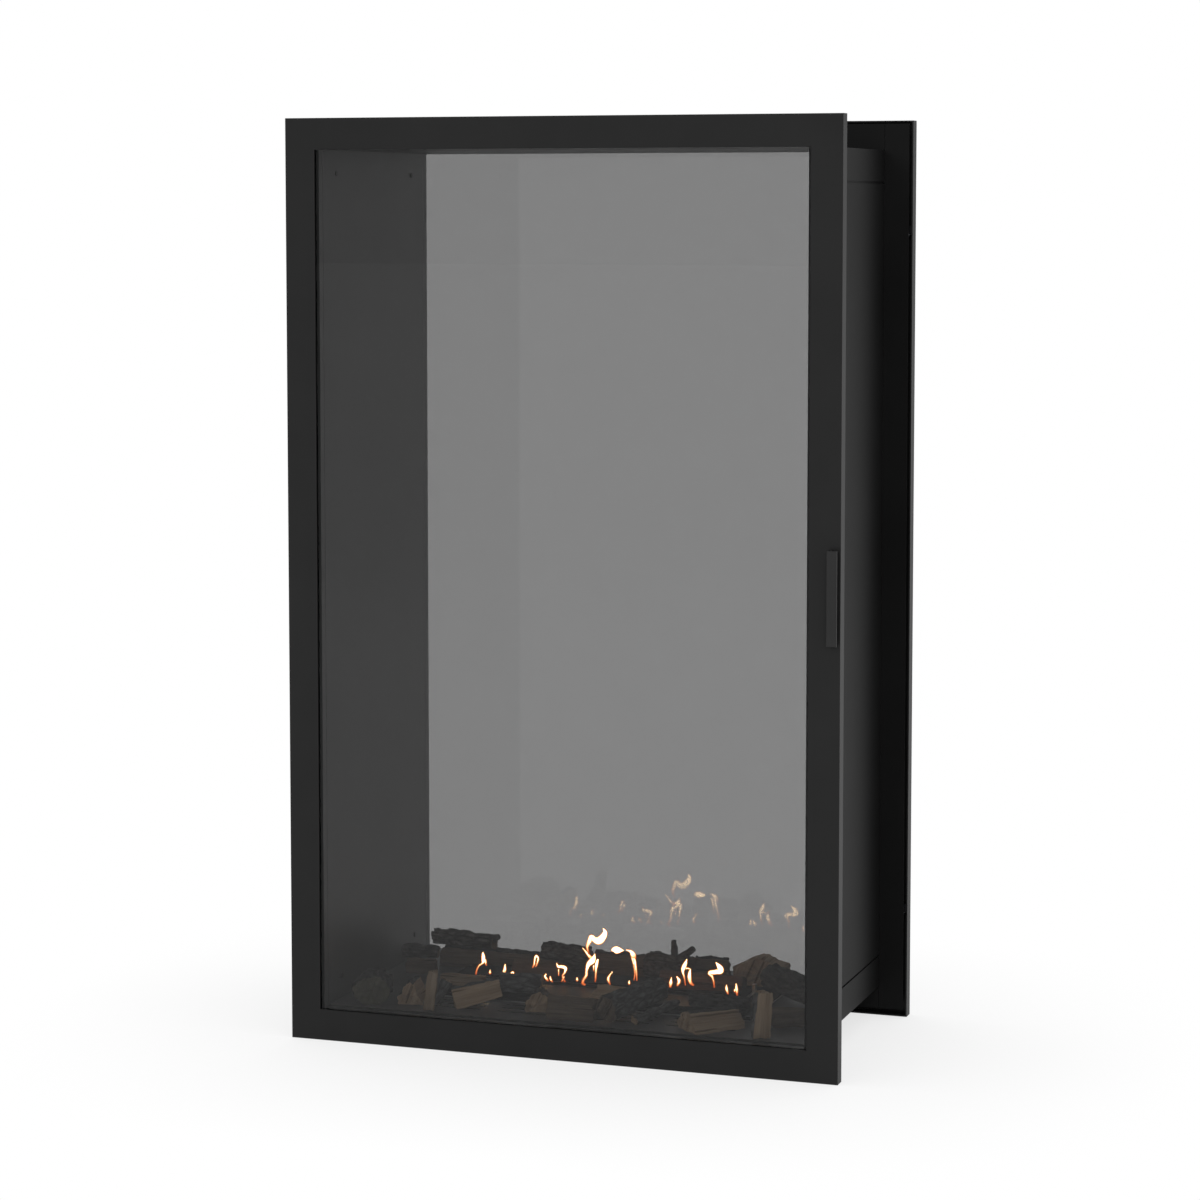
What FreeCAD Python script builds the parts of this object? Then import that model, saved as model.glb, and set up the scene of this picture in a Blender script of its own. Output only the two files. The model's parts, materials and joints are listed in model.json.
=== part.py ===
"""Double-sided ethanol fireplace: a steel casing with a glass door on each side, a burner and a log set.

Millimetres. The origin is the middle of the four floor screws, on the plane that the base rails stand on.
+X is to the right seen from the front, +Y goes from the front to the rear and +Z is up.
"""
import FreeCAD, Part
import math
import os
import re

import Sketcher

# Driving dimensions
SIZES = {
    # Doors
    "frame_width": 800, "frame_height": 1300, "frame_border": 44, "overall_depth": 416, "door_depth": 20,
    "sheet": 2, "door_gap": 5, "edge_round": 0.6,
    # Glazing
    "gasket": 1, "gasket_set": 1, "gasket_width": 7, "glass": 4, "glass_overlap": 10, "glass_bevel": 0.8,
    "retainer_sheet": 1.5, "retainer_inset": 20, "stud_inset": 27, "stud_radius": 2, "nut_height": 3.2,
    "nut_radius": 4, "thread_play": 0.05, "stud_pitch_high": 300, "stud_pitch_wide": 240,
    # Hinges
    "hinge_inset": 10, "hinge_depth": 10, "hinge_offset": 150,
    "tab_sheet": 3, "tab_nose": 7, "tab_arm": 5, "tab_clear": 12,
    "pin_radius": 3, "pin_play": 0.05, "pin_head_radius": 4.5, "pin_head": 1.5,
    "washer": 1, "washer_radius": 6.5, "block_height": 12, "block_half": 8, "block_back": 7,
    # Pull handle and catches
    "handle_length": 128, "handle_height": 659, "handle_inset": 2.2, "handle_width": 14, "handle_plate": 3,
    "handle_web": 5, "handle_reach": 13, "handle_round": 1, "handle_screw_pitch": 96,
    "handle_screw_radius": 1.5, "handle_screw_depth": 7, "handle_screw_head": 2.8, "handle_screw_cap": 1.6,
    "magnet_inset": 8, "magnet_width": 12, "magnet_depth": 12, "magnet_length": 50, "magnet_pitch": 660,
    "strike_gap": 0.4,
    # Casing
    "rail_height": 32, "casing_inset": 40, "lip_height": 45, "groove": 3, "seam": 0.5, "strip_lap": 25,
    "flange_gap": 4.5, "flange_gap_low": 12, "insulation": 2, "liner_play": 1, "insulation_set": 8,
    "slot_width": 5, "slot_length": 100, "slot_pitch_deep": 19, "slot_pitch_wide": 125, "slot_start": 104,
    "liner_screw_radius": 2, "liner_screw_head": 3.8, "liner_screw_cap": 1.5, "liner_screw_deep": 140,
    "liner_screw_up": 32,
    # Base rails
    "rail_sheet": 2.5, "rail_width": 40, "rail_length": 300, "rail_offset": 26, "rail_hole_radius": 3.5,
    "rail_hole_pitch": 240,
    # Burner
    "tank_length": 440, "tank_width": 128, "tank_depth": 30, "tank_wall": 2, "tank_flange": 24,
    "tank_play": 2, "wool_play": 0.5, "wool_height": 22,
    "cover_height": 9, "cover_foot": 14, "flame_end": 20, "flame_width": 32,
    "burner_screw_radius": 2, "burner_screw_head": 3.8, "burner_screw_cap": 2.2, "burner_screw_length": 12,
    "burner_screw_set": 6, "damper_sheet": 2, "damper_lap": 4, "damper_play": 0.7, "damper_end": 6,
    "damper_park": 8, "runner_width": 10, "runner_height": 3, "runner_play": 0.3,
    "lug_width": 5, "lug_deep": 8, "lug_height": 10, "lug_play": 1.5, "lug_hole_radius": 1.6,
    # Log set
    "log_taper": 0.92, "log_rest": 0.1,
}

# Logs in the order in which they are laid: kind, length, width, height, then the place across and deep
# as a share of the hearth in percent, turn about the vertical, tilt of the far end and roll on its own axis
LOGS = {
    "log_back_split": ("slab", 146, 46, 27, -62.0, 60.4, 2, 0, 0),
    "log_flaky_bark": ("round", 72, 42, 43, -28.0, 62.8, 6, 0, 20),
    "log_knots": ("round", 68, 42, 47, 19.3, 62.8, -5, 0, 50),
    "log_back_brown": ("split", 50, 38, 33, 33.2, 79.0, 8, 0, 0),
    "log_roof": ("roof", 46, 82, 46, 57.0, 66.0, 92, 0, 0),
    "log_dark_right": ("round", 92, 42, 36, 76.0, 24.0, -30, -7, 10),
    "log_brown_mid": ("half", 70, 30, 22, -34.3, 25.5, -3, 0, 0),
    "log_red_brown": ("half", 124, 38, 22, 38.0, 23.0, 2, 0, 0),
    "log_plank": ("plank", 62, 28, 14, -57.0, -25.5, 4, 0, 0),
    "log_grey_bark": ("round", 60, 30, 28, -29.0, -35.5, 7, 0, 35),
    "log_round_left": ("round", 62, 56, 43, -86.0, -73.5, 106, 0, 0),
    "log_split_left": ("split", 50, 36, 34, -70.2, -66.0, 100, 0, 0),
    "log_upright_left": ("plank", 55, 20, 15, -55.8, -88.0, 20, 84, 0),
    "log_diagonal": ("split", 68, 40, 28, -42.0, -66.0, 28, 14.0, 0),
    "log_tan_end": ("half", 38, 38, 30, -17.0, -60.8, 104, 0, 0),
    "log_brown_low": ("half", 68, 44, 33, 0.6, -78.0, 4, 0, 0),
    "log_big_diagonal": ("round", 112, 40, 38, 21.5, -58.0, 66, 6, 15),
    "log_tan_block": ("split", 80, 56, 28, 57.3, -72.8, 46, 0, 0),
    "log_bark_strip": ("round", 88, 21, 18, 54.8, -31.5, 3, 0, 40),
    "log_upright_right": ("split", 62, 26, 24, 81.5, -84.0, 50, 85, 0),
    "log_low_brown": ("half", 58, 38, 25, 85.8, -44.0, 24, 0, 0),
    "log_back_bark": ("round", 100, 26, 23, -73.5, 61.5, -5, 0, 30),
}

# Small pieces between the logs, which share one node
KINDLING = {
    "dark_stub": ("half", 44, 30, 22, -86.0, 23.4, 14, 0, 0),
    "small_charred": ("round", 54, 23, 20, -86.4, 25.0, 8, 0, 10),
    "bark_stub": ("round", 35, 24, 20, -55.0, -70.0, 24, 60, 0),
    "back_small": ("split", 76, 32, 37, -4.0, 61.7, 10, 0, 0),
    "flat_tan": ("plank", 48, 40, 16, 10.0, -41.0, -4, 0, 23),
    "branch": ("round", 90, 14, 13, 32.5, -61.0, 66, 7, 0),
}

# Cross-sections of the logs: width from -0.5 to 0.5 and height from 0 to 1, all bulging outwards
SECTIONS = {
    "round": ((-0.22, 0), (0.2, 0.02), (0.45, 0.24), (0.5, 0.6), (0.26, 0.94), (-0.14, 1), (-0.44, 0.76),
              (-0.5, 0.32)),
    "split": ((-0.5, 0), (0.46, 0), (0.5, 0.3), (0.3, 0.74), (0.02, 1), (-0.16, 0.92)),
    "half": ((-0.48, 0), (0.5, 0), (0.46, 0.42), (0.24, 0.88), (-0.1, 1), (-0.4, 0.74), (-0.5, 0.34)),
    "plank": ((-0.5, 0), (0.48, 0), (0.5, 0.84), (-0.44, 1)),
    "slab": ((-0.5, 0), (0.5, 0), (0.48, 0.7), (0.34, 0.96), (-0.36, 1), (-0.5, 0.62)),
    "roof": ((-0.5, 0), (0.5, 0), (0.48, 0.64), (0.06, 1), (-0.04, 0.98), (-0.46, 0.7)),
}

# Formulas worked out from the driving dimensions
FORMULAS = {
    "half_width": "frame_width / 2",
    "front_face": "-overall_depth / 2",
    "face_in": "front_face + sheet",
    "rim_end": "front_face + door_depth",
    "flange_front": "rim_end + door_gap",
    "flange_wall": "flange_front + sheet",
    "frame_low": "rail_height - frame_border",
    "frame_top": "frame_low + frame_height",
    "frame_mid": "(frame_low + frame_top) / 2",
    "opening_x": "half_width - frame_border",
    "opening_low": "frame_low + frame_border",
    "opening_top": "frame_top - frame_border",
    "side_out": "half_width - casing_inset",
    "side_in": "side_out - sheet",
    "strip_in": "side_in - sheet",
    "liner_out": "strip_in - insulation",
    "liner_in": "liner_out - sheet",
    "liner_end": "rim_end + liner_play",
    "floor_low": "rail_height",
    "floor_top": "floor_low + sheet",
    "roof_low": "opening_top",
    "roof_top": "roof_low + sheet",
    "lip_floor_end": "floor_low + lip_height",
    "lip_roof_end": "roof_top - lip_height",
    "flange_low": "frame_low + flange_gap_low",
    "flange_top": "frame_top - flange_gap",
    "flange_out": "half_width - flange_gap",
    "glass_x": "opening_x + glass_overlap",
    "glass_low": "opening_low - glass_overlap",
    "glass_top": "opening_top + glass_overlap",
    "glass_front": "face_in + gasket",
    "glass_back": "glass_front + glass",
    "retainer_back": "glass_back + retainer_sheet",
    "stud_x": "half_width - stud_inset",
    "stud_end": "retainer_back + nut_height + sheet / 2",
    "hinge_x": "hinge_inset - half_width",
    "hinge_y": "front_face + hinge_depth",
    "hinge_stack": "tab_sheet + washer + block_height",
    "magnet_face": "flange_front - magnet_depth",
    "magnet_x": "half_width - magnet_inset - magnet_width",
    "strike_face": "magnet_face - strike_gap",
    "handle_x": "half_width - handle_inset - handle_width",
    "handle_front": "front_face - handle_reach",
    "handle_mid": "frame_low + handle_height",
    "rail_place": "foot_x + rail_offset",
    "tank_x": "tank_length / 2",
    "flame_length": "tank_length - 2 * flame_end",
    "tank_y": "tank_width / 2",
    "tank_low": "floor_top - tank_depth",
    "foot_x": "tank_x + tank_flange",
    "foot_y": "tank_y + tank_flange",
    "tank_top": "floor_top + tank_wall",
    "cover_x": "foot_x - cover_foot",
    "cover_y": "foot_y - cover_foot",
    "cover_top": "tank_top + cover_height",
    "cover_under": "cover_top - tank_wall",
    "damper_top": "cover_under - damper_play",
    "damper_low": "damper_top - damper_sheet",
    "damper_x": "cover_x - tank_wall - damper_end",
    "damper_width": "flame_width + 2 * damper_lap",
    "damper_front": "flame_width / 2 + damper_park",
    "damper_travel": "damper_front + flame_width / 2 + damper_lap",
    "lug_x": "(flame_length / 2 + damper_x - lug_width) / 2",
    "lug_y": "damper_front + damper_width / 2 - lug_deep / 2",
    "runner_top": "damper_low - runner_play",
}

doc = FreeCAD.newDocument("fireplace")
sheet = doc.addObject("Spreadsheet::Sheet", "sizes")
PARTS = {}


def fill_sheet():
    """Writes every driving dimension to a cell of its own."""
    rows = dict(SIZES)
    for name, (kind, length, width, height, *place) in {**LOGS, **KINDLING}.items():
        rows.update({f"{name}_length": length, f"{name}_width": width, f"{name}_height": height})
    for number, (alias, value) in enumerate(rows.items(), 1):
        sheet.set(f"A{number}", alias.replace("_", " "))
        sheet.set(f"B{number}", str(value))
        sheet.setAlias(f"B{number}", alias)
    doc.recompute()


def formula(text):
    """Turns a formula with plain names into an expression on the sheet's cells."""
    def swap(match):
        word = match.group(0)
        return f"({formula(FORMULAS[word])})" if word in FORMULAS else f"sizes.{word}"
    return re.sub(r"[a-z][a-z_]*", swap, str(text))


def number(text):
    """Works a formula out from the sheet's present values."""
    return float(sheet.evalExpression(formula(text)))


def keep(label, thing):
    """Names a finished sub-part."""
    thing.Label = label
    PARTS[label] = thing
    return thing


def add(kind, **formulas):
    """Adds a Part object whose properties follow formulas."""
    thing = doc.addObject(f"Part::{kind}", kind)
    for name, text in formulas.items():
        thing.setExpression(name.replace("_", "."), formula(text))
    return thing


def box(x, y, z):
    """A block between two formulas along each axis."""
    long, wide, high = (f"({way[1]}) - ({way[0]})" for way in (x, y, z))
    thing = add("Box", Length=long, Width=wide, Height=high)
    return at(thing, x[0], y[0], z[0])


def at(thing, x, y, z):
    """Places an object by formulas."""
    for axis, text in zip("xyz", (x, y, z)):
        thing.setExpression(f"Placement.Base.{axis}", formula(text))
    return thing


def rod(radius, length, x, y, z, along=(0, 0, 1)):
    """A round bar from a point along an axis."""
    thing = add("Cylinder", Radius=radius, Height=length)
    thing.Placement.Rotation = FreeCAD.Rotation(FreeCAD.Vector(0, 0, 1), FreeCAD.Vector(*along))
    return at(thing, x, y, z)


def fuse(*things):
    """Joins objects that belong to one piece."""
    thing = doc.addObject("Part::MultiFuse", "Fuse")
    thing.Shapes = list(things)
    thing.Refine = True
    return thing


def cut(base, *tools):
    """Takes tools away from a piece."""
    thing = doc.addObject("Part::Cut", "Cut")
    thing.Base = base
    thing.Tool = tools[0] if len(tools) == 1 else group(*tools)
    return thing


def group(*things):
    """Holds separate solids in one object."""
    thing = doc.addObject("Part::Compound", "Group")
    thing.Links = list(things)
    return thing


def turned(thing, side):
    """Leaves a piece at the front, or turns it half a turn to the rear."""
    if side == "rear":
        thing.Placement = FreeCAD.Placement(FreeCAD.Vector(), FreeCAD.Rotation(FreeCAD.Vector(0, 0, 1), 180))
    return thing


def mirrored_x(low, high):
    """The same stretch on the left and on the right."""
    return ((f"-({high})", f"-({low})"), (low, high))


def mirrored_y(low, high):
    """The same stretch at the front and at the rear."""
    return ((low, high), (f"-({high})", f"-({low})"))


def sketch(body, role, offset, *outlines):
    """A sketch of closed outlines whose corners follow formulas."""
    plane = next(p for p in body.Origin.OriginFeatures if p.Role == role)
    drawing = body.newObject("Sketcher::SketchObject", "Sketch")
    drawing.AttachmentSupport = [(plane, "")]
    drawing.MapMode = "FlatFace"
    drawing.setExpression("AttachmentOffset.Base.z", formula(offset))
    for corners in outlines:
        first = drawing.GeometryCount
        points = [FreeCAD.Vector(number(u), number(v), 0) for u, v in corners]
        for start, end in zip(points, points[1:] + points[:1]):
            drawing.addGeometry(Part.LineSegment(start, end), False)
        for index in range(len(corners)):
            line = first + index
            after = first + (index + 1) % len(corners)
            drawing.addConstraint(Sketcher.Constraint("Coincident", line, 2, after, 1))
        for index, (u, v) in enumerate(corners):
            for way, text, value in (("DistanceX", u, points[index].x), ("DistanceY", v, points[index].y)):
                which = drawing.addConstraint(Sketcher.Constraint(way, -1, 1, first + index, 1, value))
                drawing.setExpression(f"Constraints[{which}]", formula(text))
    return drawing


def rectangle(x, y):
    """Corners of an upright rectangle."""
    return ((x[0], y[0]), (x[1], y[0]), (x[1], y[1]), (x[0], y[1]))


def ring(x, low, high):
    """Corners of a rectangle that is centred across."""
    return rectangle((f"-({x})", x), (low, high))


def pad(body, drawing, length, backwards=False):
    """A pad of a sketch, along its normal or against it."""
    feature = body.newObject("PartDesign::Pad", "Pad")
    feature.Profile = drawing
    feature.setExpression("Length", formula(length))
    feature.Reversed = backwards
    body.Tip = feature
    return feature


def pocket(body, drawing, depth, backwards=False):
    """A pocket of a sketch, checked to take something away."""
    doc.recompute()
    before = body.Shape.Volume
    feature = body.newObject("PartDesign::Pocket", "Pocket")
    feature.Profile = drawing
    feature.setExpression("Length", formula(depth))
    feature.Reversed = backwards
    body.Tip = feature
    doc.recompute()
    if body.Shape.Volume >= before:
        raise RuntimeError(f"a pocket in {body.Label} cuts nothing")
    return feature


def round_edges(body, kind, size, wanted):
    """Rounds or bevels the edges that a test picks."""
    doc.recompute()
    base = body.Tip
    names = [f"Edge{n}" for n, edge in enumerate(base.Shape.Edges, 1) if wanted(edge)]
    feature = body.newObject(f"PartDesign::{kind}", kind)
    feature.Base = (base, names)
    feature.setExpression("Radius" if kind == "Fillet" else "Size", formula(size))
    body.Tip = feature


def stud_places():
    """Where the studs of a door stand: four on each upright, three on each rail."""
    uprights = [(side, f"frame_mid + {step} * stud_pitch_high")
                for side in ("-stud_x", "stud_x") for step in (-1.5, -0.5, 0.5, 1.5)]
    rails = [(f"{step} * stud_pitch_wide", height)
             for height in ("frame_low + stud_inset", "frame_top - stud_inset") for step in (-1, 0, 1)]
    return uprights + rails


def hinge_heights():
    """Undersides of the two hinge tabs of a door."""
    return "frame_low + hinge_offset", "frame_top - hinge_offset - hinge_stack"


def handle_screw_heights():
    """Heights of the two screws of a handle."""
    return "handle_mid - handle_screw_pitch / 2", "handle_mid + handle_screw_pitch / 2"


def magnet_heights():
    """Middles of the two magnets of a door."""
    return "frame_mid - magnet_pitch / 2", "frame_mid + magnet_pitch / 2"


def door_frame(side):
    """The folded pan, with welded studs and holes for the handle screws."""
    pan = doc.addObject("PartDesign::Body", "Pan")
    outer = ring("half_width", "frame_low", "frame_top")
    opening = ring("opening_x", "opening_low", "opening_top")
    pad(pan, sketch(pan, "XZ_Plane", "-(rim_end)", outer, opening), "door_depth")
    inner = ring("half_width - sheet", "frame_low + sheet", "frame_top - sheet")
    pocket(pan, sketch(pan, "XZ_Plane", "-(rim_end)", inner), "door_depth - sheet", True)
    front, inside, border = (number(word) for word in ("front_face", "opening_x", "frame_border / 2"))
    middle, tall = number("frame_mid"), number("(opening_top - opening_low) / 2")

    def outer_edge(edge):
        spot = edge.CenterOfMass
        beyond = max(abs(spot.x) - inside, abs(spot.z - middle) - tall)
        return edge.BoundBox.YMax < front + 0.01 and beyond > border

    round_edges(pan, "Fillet", "edge_round", outer_edge)
    studs = [rod("stud_radius", "stud_end - face_in", x, "face_in", z, (0, 1, 0)) for x, z in stud_places()]
    holes = [rod("handle_screw_radius + thread_play", "2 * sheet", "handle_x + handle_web / 2",
                 "front_face - sheet / 2", z, (0, 1, 0)) for z in handle_screw_heights()]
    keep(f"{side}_door_frame", turned(cut(fuse(pan, *studs), *holes), side))


def door_glazing(side):
    """The gasket tape, the pane with bevelled edges, the retainer angle behind it and its nuts."""
    tape = doc.addObject("PartDesign::Body", "Tape")
    tape_in = ring("opening_x + gasket_set", "opening_low - gasket_set", "opening_top + gasket_set")
    tape_out = ring("opening_x + gasket_set + gasket_width", "opening_low - gasket_set - gasket_width",
                    "opening_top + gasket_set + gasket_width")
    pad(tape, sketch(tape, "XZ_Plane", "-(glass_front)", tape_out, tape_in), "gasket")
    keep(f"{side}_glass_gasket", turned(tape, side))

    pane = doc.addObject("PartDesign::Body", "Pane")
    pad(pane, sketch(pane, "XZ_Plane", "-(glass_back)", ring("glass_x", "glass_low", "glass_top")), "glass")
    round_edges(pane, "Chamfer", "glass_bevel", lambda edge: edge.Length > 2 * number("glass"))
    keep(f"{side}_door_glass", turned(pane, side))

    angle = doc.addObject("PartDesign::Body", "Angle")
    outer = ring("half_width - retainer_inset", "frame_low + retainer_inset", "frame_top - retainer_inset")
    inner = ring("liner_in", "opening_low", "opening_top")
    leg = ring("liner_in + retainer_sheet", "opening_low - retainer_sheet", "opening_top + retainer_sheet")
    pad(angle, sketch(angle, "XZ_Plane", "-(retainer_back)", outer, inner), "retainer_sheet")
    pad(angle, sketch(angle, "XZ_Plane", "-(rim_end)", leg, inner), "rim_end - glass_back")
    deep = ("3 * retainer_sheet", "glass_back - retainer_sheet")
    holes = [rod("stud_radius + thread_play", deep[0], x, deep[1], z, (0, 1, 0)) for x, z in stud_places()]
    keep(f"{side}_glass_retainer", turned(cut(angle, *holes), side))

    nuts = []
    for x, z in stud_places():
        hexagon = add("Prism", Circumradius="nut_radius", Height="nut_height")
        hexagon.Polygon = 6
        hexagon.Placement.Rotation = FreeCAD.Rotation(FreeCAD.Vector(0, 0, 1), FreeCAD.Vector(0, 1, 0))
        start = "retainer_back - nut_height"
        bore = rod("stud_radius + thread_play", "3 * nut_height", x, start, z, (0, 1, 0))
        nuts.append(cut(at(hexagon, x, "retainer_back", z), bore))
    keep(f"{side}_retainer_nuts", turned(group(*nuts), side))


def door_hinge_blocks(side):
    """Blocks in the pan that turn on the hinge pins."""
    blocks = []
    for z in hinge_heights():
        low = f"{z} + tab_sheet + washer"
        body = box(("sheet - half_width", "hinge_x + block_half"), ("face_in", "hinge_y + block_back"),
                   (low, f"{low} + block_height"))
        blocks.append(cut(body, rod("pin_radius + pin_play", "2 * block_height", "hinge_x", "hinge_y",
                                    f"{low} - block_height / 2")))
    keep(f"{side}_pivot_blocks", turned(group(*blocks), side))


def door_handle(side):
    """The bent pull on the closing edge, with the screws that hold it from inside the pan."""
    pull = doc.addObject("PartDesign::Body", "Pull")
    end = "handle_x + handle_width"
    plate_back = "handle_front + handle_plate"
    corners = (("handle_x", "handle_front"), (end, "handle_front"), (end, plate_back),
               ("handle_x + handle_web", plate_back), ("handle_x + handle_web", "front_face"),
               ("handle_x", "front_face"))
    pad(pull, sketch(pull, "XY_Plane", "handle_mid - handle_length / 2", corners), "handle_length")
    limit = number("handle_front + 0.1")
    round_edges(pull, "Fillet", "handle_round", lambda edge: edge.BoundBox.YMax < limit)
    place = ("handle_x + handle_web / 2", "front_face - handle_screw_depth")
    holes = [rod("handle_screw_radius + thread_play", "handle_screw_depth + sheet", *place, z, (0, 1, 0))
             for z in handle_screw_heights()]
    keep(f"{side}_door_handle", turned(cut(pull, *holes), side))

    screws = []
    for z in handle_screw_heights():
        shank = rod("handle_screw_radius", "handle_screw_depth + sheet", *place, z, (0, 1, 0))
        head = rod("handle_screw_head", "handle_screw_cap", place[0], "face_in", z, (0, 1, 0))
        screws.append(fuse(shank, head))
    keep(f"{side}_handle_screws", turned(group(*screws), side))


def door_strikes(side):
    """Bent steel straps in the pan that the magnets hold."""
    straps = []
    across = ("magnet_x", "magnet_x + magnet_width")
    for z in magnet_heights():
        low, high = f"{z} - magnet_length / 2", f"{z} + magnet_length / 2"
        straps.append(fuse(box(across, ("strike_face - sheet", "strike_face"), (low, high)),
                           box(across, ("face_in", "strike_face"), (low, f"{low} + sheet")),
                           box(across, ("face_in", "strike_face"), (f"{high} - sheet", high))))
    keep(f"{side}_strike_plates", turned(group(*straps), side))


def both_sides(make):
    """Makes the solids of the front and, turned half a turn, of the rear."""
    return [turned(group(*make()), side) for side in ("front", "rear")]


def casing_hinges():
    """Bent tabs on the wall flanges that reach round the rim, their pins and the washers under the doors."""
    def tabs():
        made = []
        for z in hinge_heights():
            end = "hinge_x + tab_clear + tab_arm"
            neck = box(("hinge_x", end), ("hinge_y", "hinge_y + tab_nose"), (z, f"{z} + tab_sheet"))
            arm = box(("hinge_x + tab_clear", end), ("hinge_y", "flange_front"), (z, f"{z} + tab_sheet"))
            nose = rod("tab_nose", "tab_sheet", "hinge_x", "hinge_y", z)
            bore = rod("pin_radius", "3 * tab_sheet", "hinge_x", "hinge_y", f"{z} - tab_sheet")
            made.append(cut(fuse(neck, arm, nose), bore))
        return made

    def pins():
        place = ("hinge_x", "hinge_y")
        return [fuse(rod("pin_radius", "hinge_stack", *place, z),
                     rod("pin_head_radius", "pin_head", *place, f"{z} - pin_head")) for z in hinge_heights()]

    def washers():
        place = ("hinge_x", "hinge_y")
        return [cut(rod("washer_radius", "washer", *place, f"{z} + tab_sheet"),
                    rod("pin_radius + pin_play", "3 * washer", *place, f"{z} + tab_sheet - washer"))
                for z in hinge_heights()]

    keep("hinge_tabs", group(*both_sides(tabs)))
    keep("hinge_pins", group(*both_sides(pins)))
    keep("hinge_washers", group(*both_sides(washers)))


def casing_magnets():
    """Magnet blocks on the wall flanges at the closing edges."""
    def magnets():
        return [box(("magnet_x", "magnet_x + magnet_width"), ("magnet_face", "flange_front"),
                    (f"{z} - magnet_length / 2", f"{z} + magnet_length / 2")) for z in magnet_heights()]
    keep("door_magnets", group(*both_sides(magnets)))


def air_slots(low, high):
    """Rows of slots in front of the burner and behind it."""
    slots = []
    for row in range(3):
        for column in (-1.5, -0.5, 0.5, 1.5):
            for y in mirrored_y(f"-(slot_start + {row} * slot_pitch_deep) - slot_width / 2",
                                f"-(slot_start + {row} * slot_pitch_deep) + slot_width / 2"):
                middle = f"{column} * slot_pitch_wide"
                x = (f"{middle} - slot_length / 2", f"{middle} + slot_length / 2")
                slots.append(box(x, y, (low, high)))
    return slots


def casing_pan(plate, lip, flange):
    """A folded pan: a plate, two wall flanges and two side lips that step behind the sides' flanges."""
    wide = ("seam - side_out", "side_out - seam")
    deep = ("flange_front", "-(flange_front)")
    short = ("flange_wall + seam", "-(flange_wall + seam)")
    sides = [box(x, short, lip) for x in mirrored_x("side_in", "side_out")]
    steps = [box(x, deep, lip) for x in mirrored_x("side_in", "side_out - seam")]
    rails = [box(wide, y, flange) for y in mirrored_y("flange_front", "flange_wall")]
    return fuse(box(wide, deep, plate), *sides, *steps, *rails)


def casing_pans():
    """Floor and top of the casing."""
    floor = casing_pan(("floor_low", "floor_top"), ("floor_low", "lip_floor_end"),
                       ("flange_low", "floor_top"))
    well = box(("-tank_x - tank_play", "tank_x + tank_play"), ("-tank_y - tank_play", "tank_y + tank_play"),
               ("floor_low - sheet", "floor_top + sheet"))
    holes = [rod("burner_screw_radius + thread_play", "3 * sheet", x, y, "floor_low - sheet")
             for x, y in burner_screw_places()]
    keep("casing_floor", cut(floor, well, *holes, *air_slots("floor_low - sheet", "floor_top + sheet")))
    top = casing_pan(("roof_low", "roof_top"), ("lip_roof_end", "roof_top"), ("roof_low", "flange_top"))
    keep("casing_top", cut(top, *air_slots("roof_low - sheet", "roof_top + sheet")))


def liner_screw_places():
    """Depth and height of the four screws of a liner."""
    heights = ("floor_top + liner_screw_up", "roof_low - liner_screw_up")
    return [(y, z) for y in ("-liner_screw_deep", "liner_screw_deep") for z in heights]


def liner_screw_holes(side, start, length):
    """Holes for the screws of one liner, from a point outwards."""
    way = (-1, 0, 0) if side == "left" else (1, 0, 0)
    sign = "-" if side == "left" else ""
    return [rod("liner_screw_radius + thread_play", length, f"{sign}({start})", y, z, way)
            for y, z in liner_screw_places()]


def casing_sides():
    """Side sheets with full-height flanges, the liners inside them, the board between and the screws."""
    boards = []
    screws = []
    layers = (("side_in", "side_out"), ("side_out", "flange_out"), ("strip_in", "side_in"),
              ("liner_in", "liner_out"), ("liner_out", "strip_in"))
    for side, spans in zip(("left", "right"), zip(*(mirrored_x(*layer) for layer in layers))):
        web, flange, strip, liner, board = spans
        deep = ("flange_front", "-(flange_front)")
        low, high = "lip_floor_end + groove", "lip_roof_end - groove"
        laps = (("lip_floor_end - strip_lap", f"{low} + strip_lap"),
                (f"{high} - strip_lap", "lip_roof_end + strip_lap"))
        strips = [box(strip, deep, z) for z in laps]
        tall = ("flange_low", "flange_top")
        flanges = [box(flange, y, tall) for y in mirrored_y("flange_front", "flange_wall")]
        ends = [box(web, y, z) for y in mirrored_y("flange_front", "flange_wall")
                for z in (("lip_floor_end", low), (high, "lip_roof_end"))]
        panel = fuse(box(web, deep, (low, high)), *flanges, *strips, *ends)
        holes = liner_screw_holes(side, "strip_in - sheet / 2", "1.5 * sheet")
        keep(f"casing_side_{side}", cut(panel, *holes))

        wall = box(liner, ("liner_end", "-(liner_end)"), ("floor_top", "roof_low"))
        keep(f"liner_{side}", cut(wall, *liner_screw_holes(side, "liner_in - sheet", "3 * sheet")))
        sheet_inside = box(board, ("flange_wall + insulation_set", "-(flange_wall + insulation_set)"),
                           ("floor_top", "roof_low"))
        boards.append(cut(sheet_inside, *liner_screw_holes(side, "liner_out - insulation", "3 * insulation")))

        way = (-1, 0, 0) if side == "left" else (1, 0, 0)
        sign = "-" if side == "left" else ""
        for y, z in liner_screw_places():
            shank = rod("liner_screw_radius", "side_in - liner_in", f"{sign}liner_in", y, z, way)
            under = f"{sign}(liner_in - liner_screw_cap)"
            head = rod("liner_screw_head", "liner_screw_cap", under, y, z, way)
            screws.append(fuse(shank, head))
    keep("insulation_boards", group(*boards))
    keep("liner_screws", group(*screws))


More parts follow.
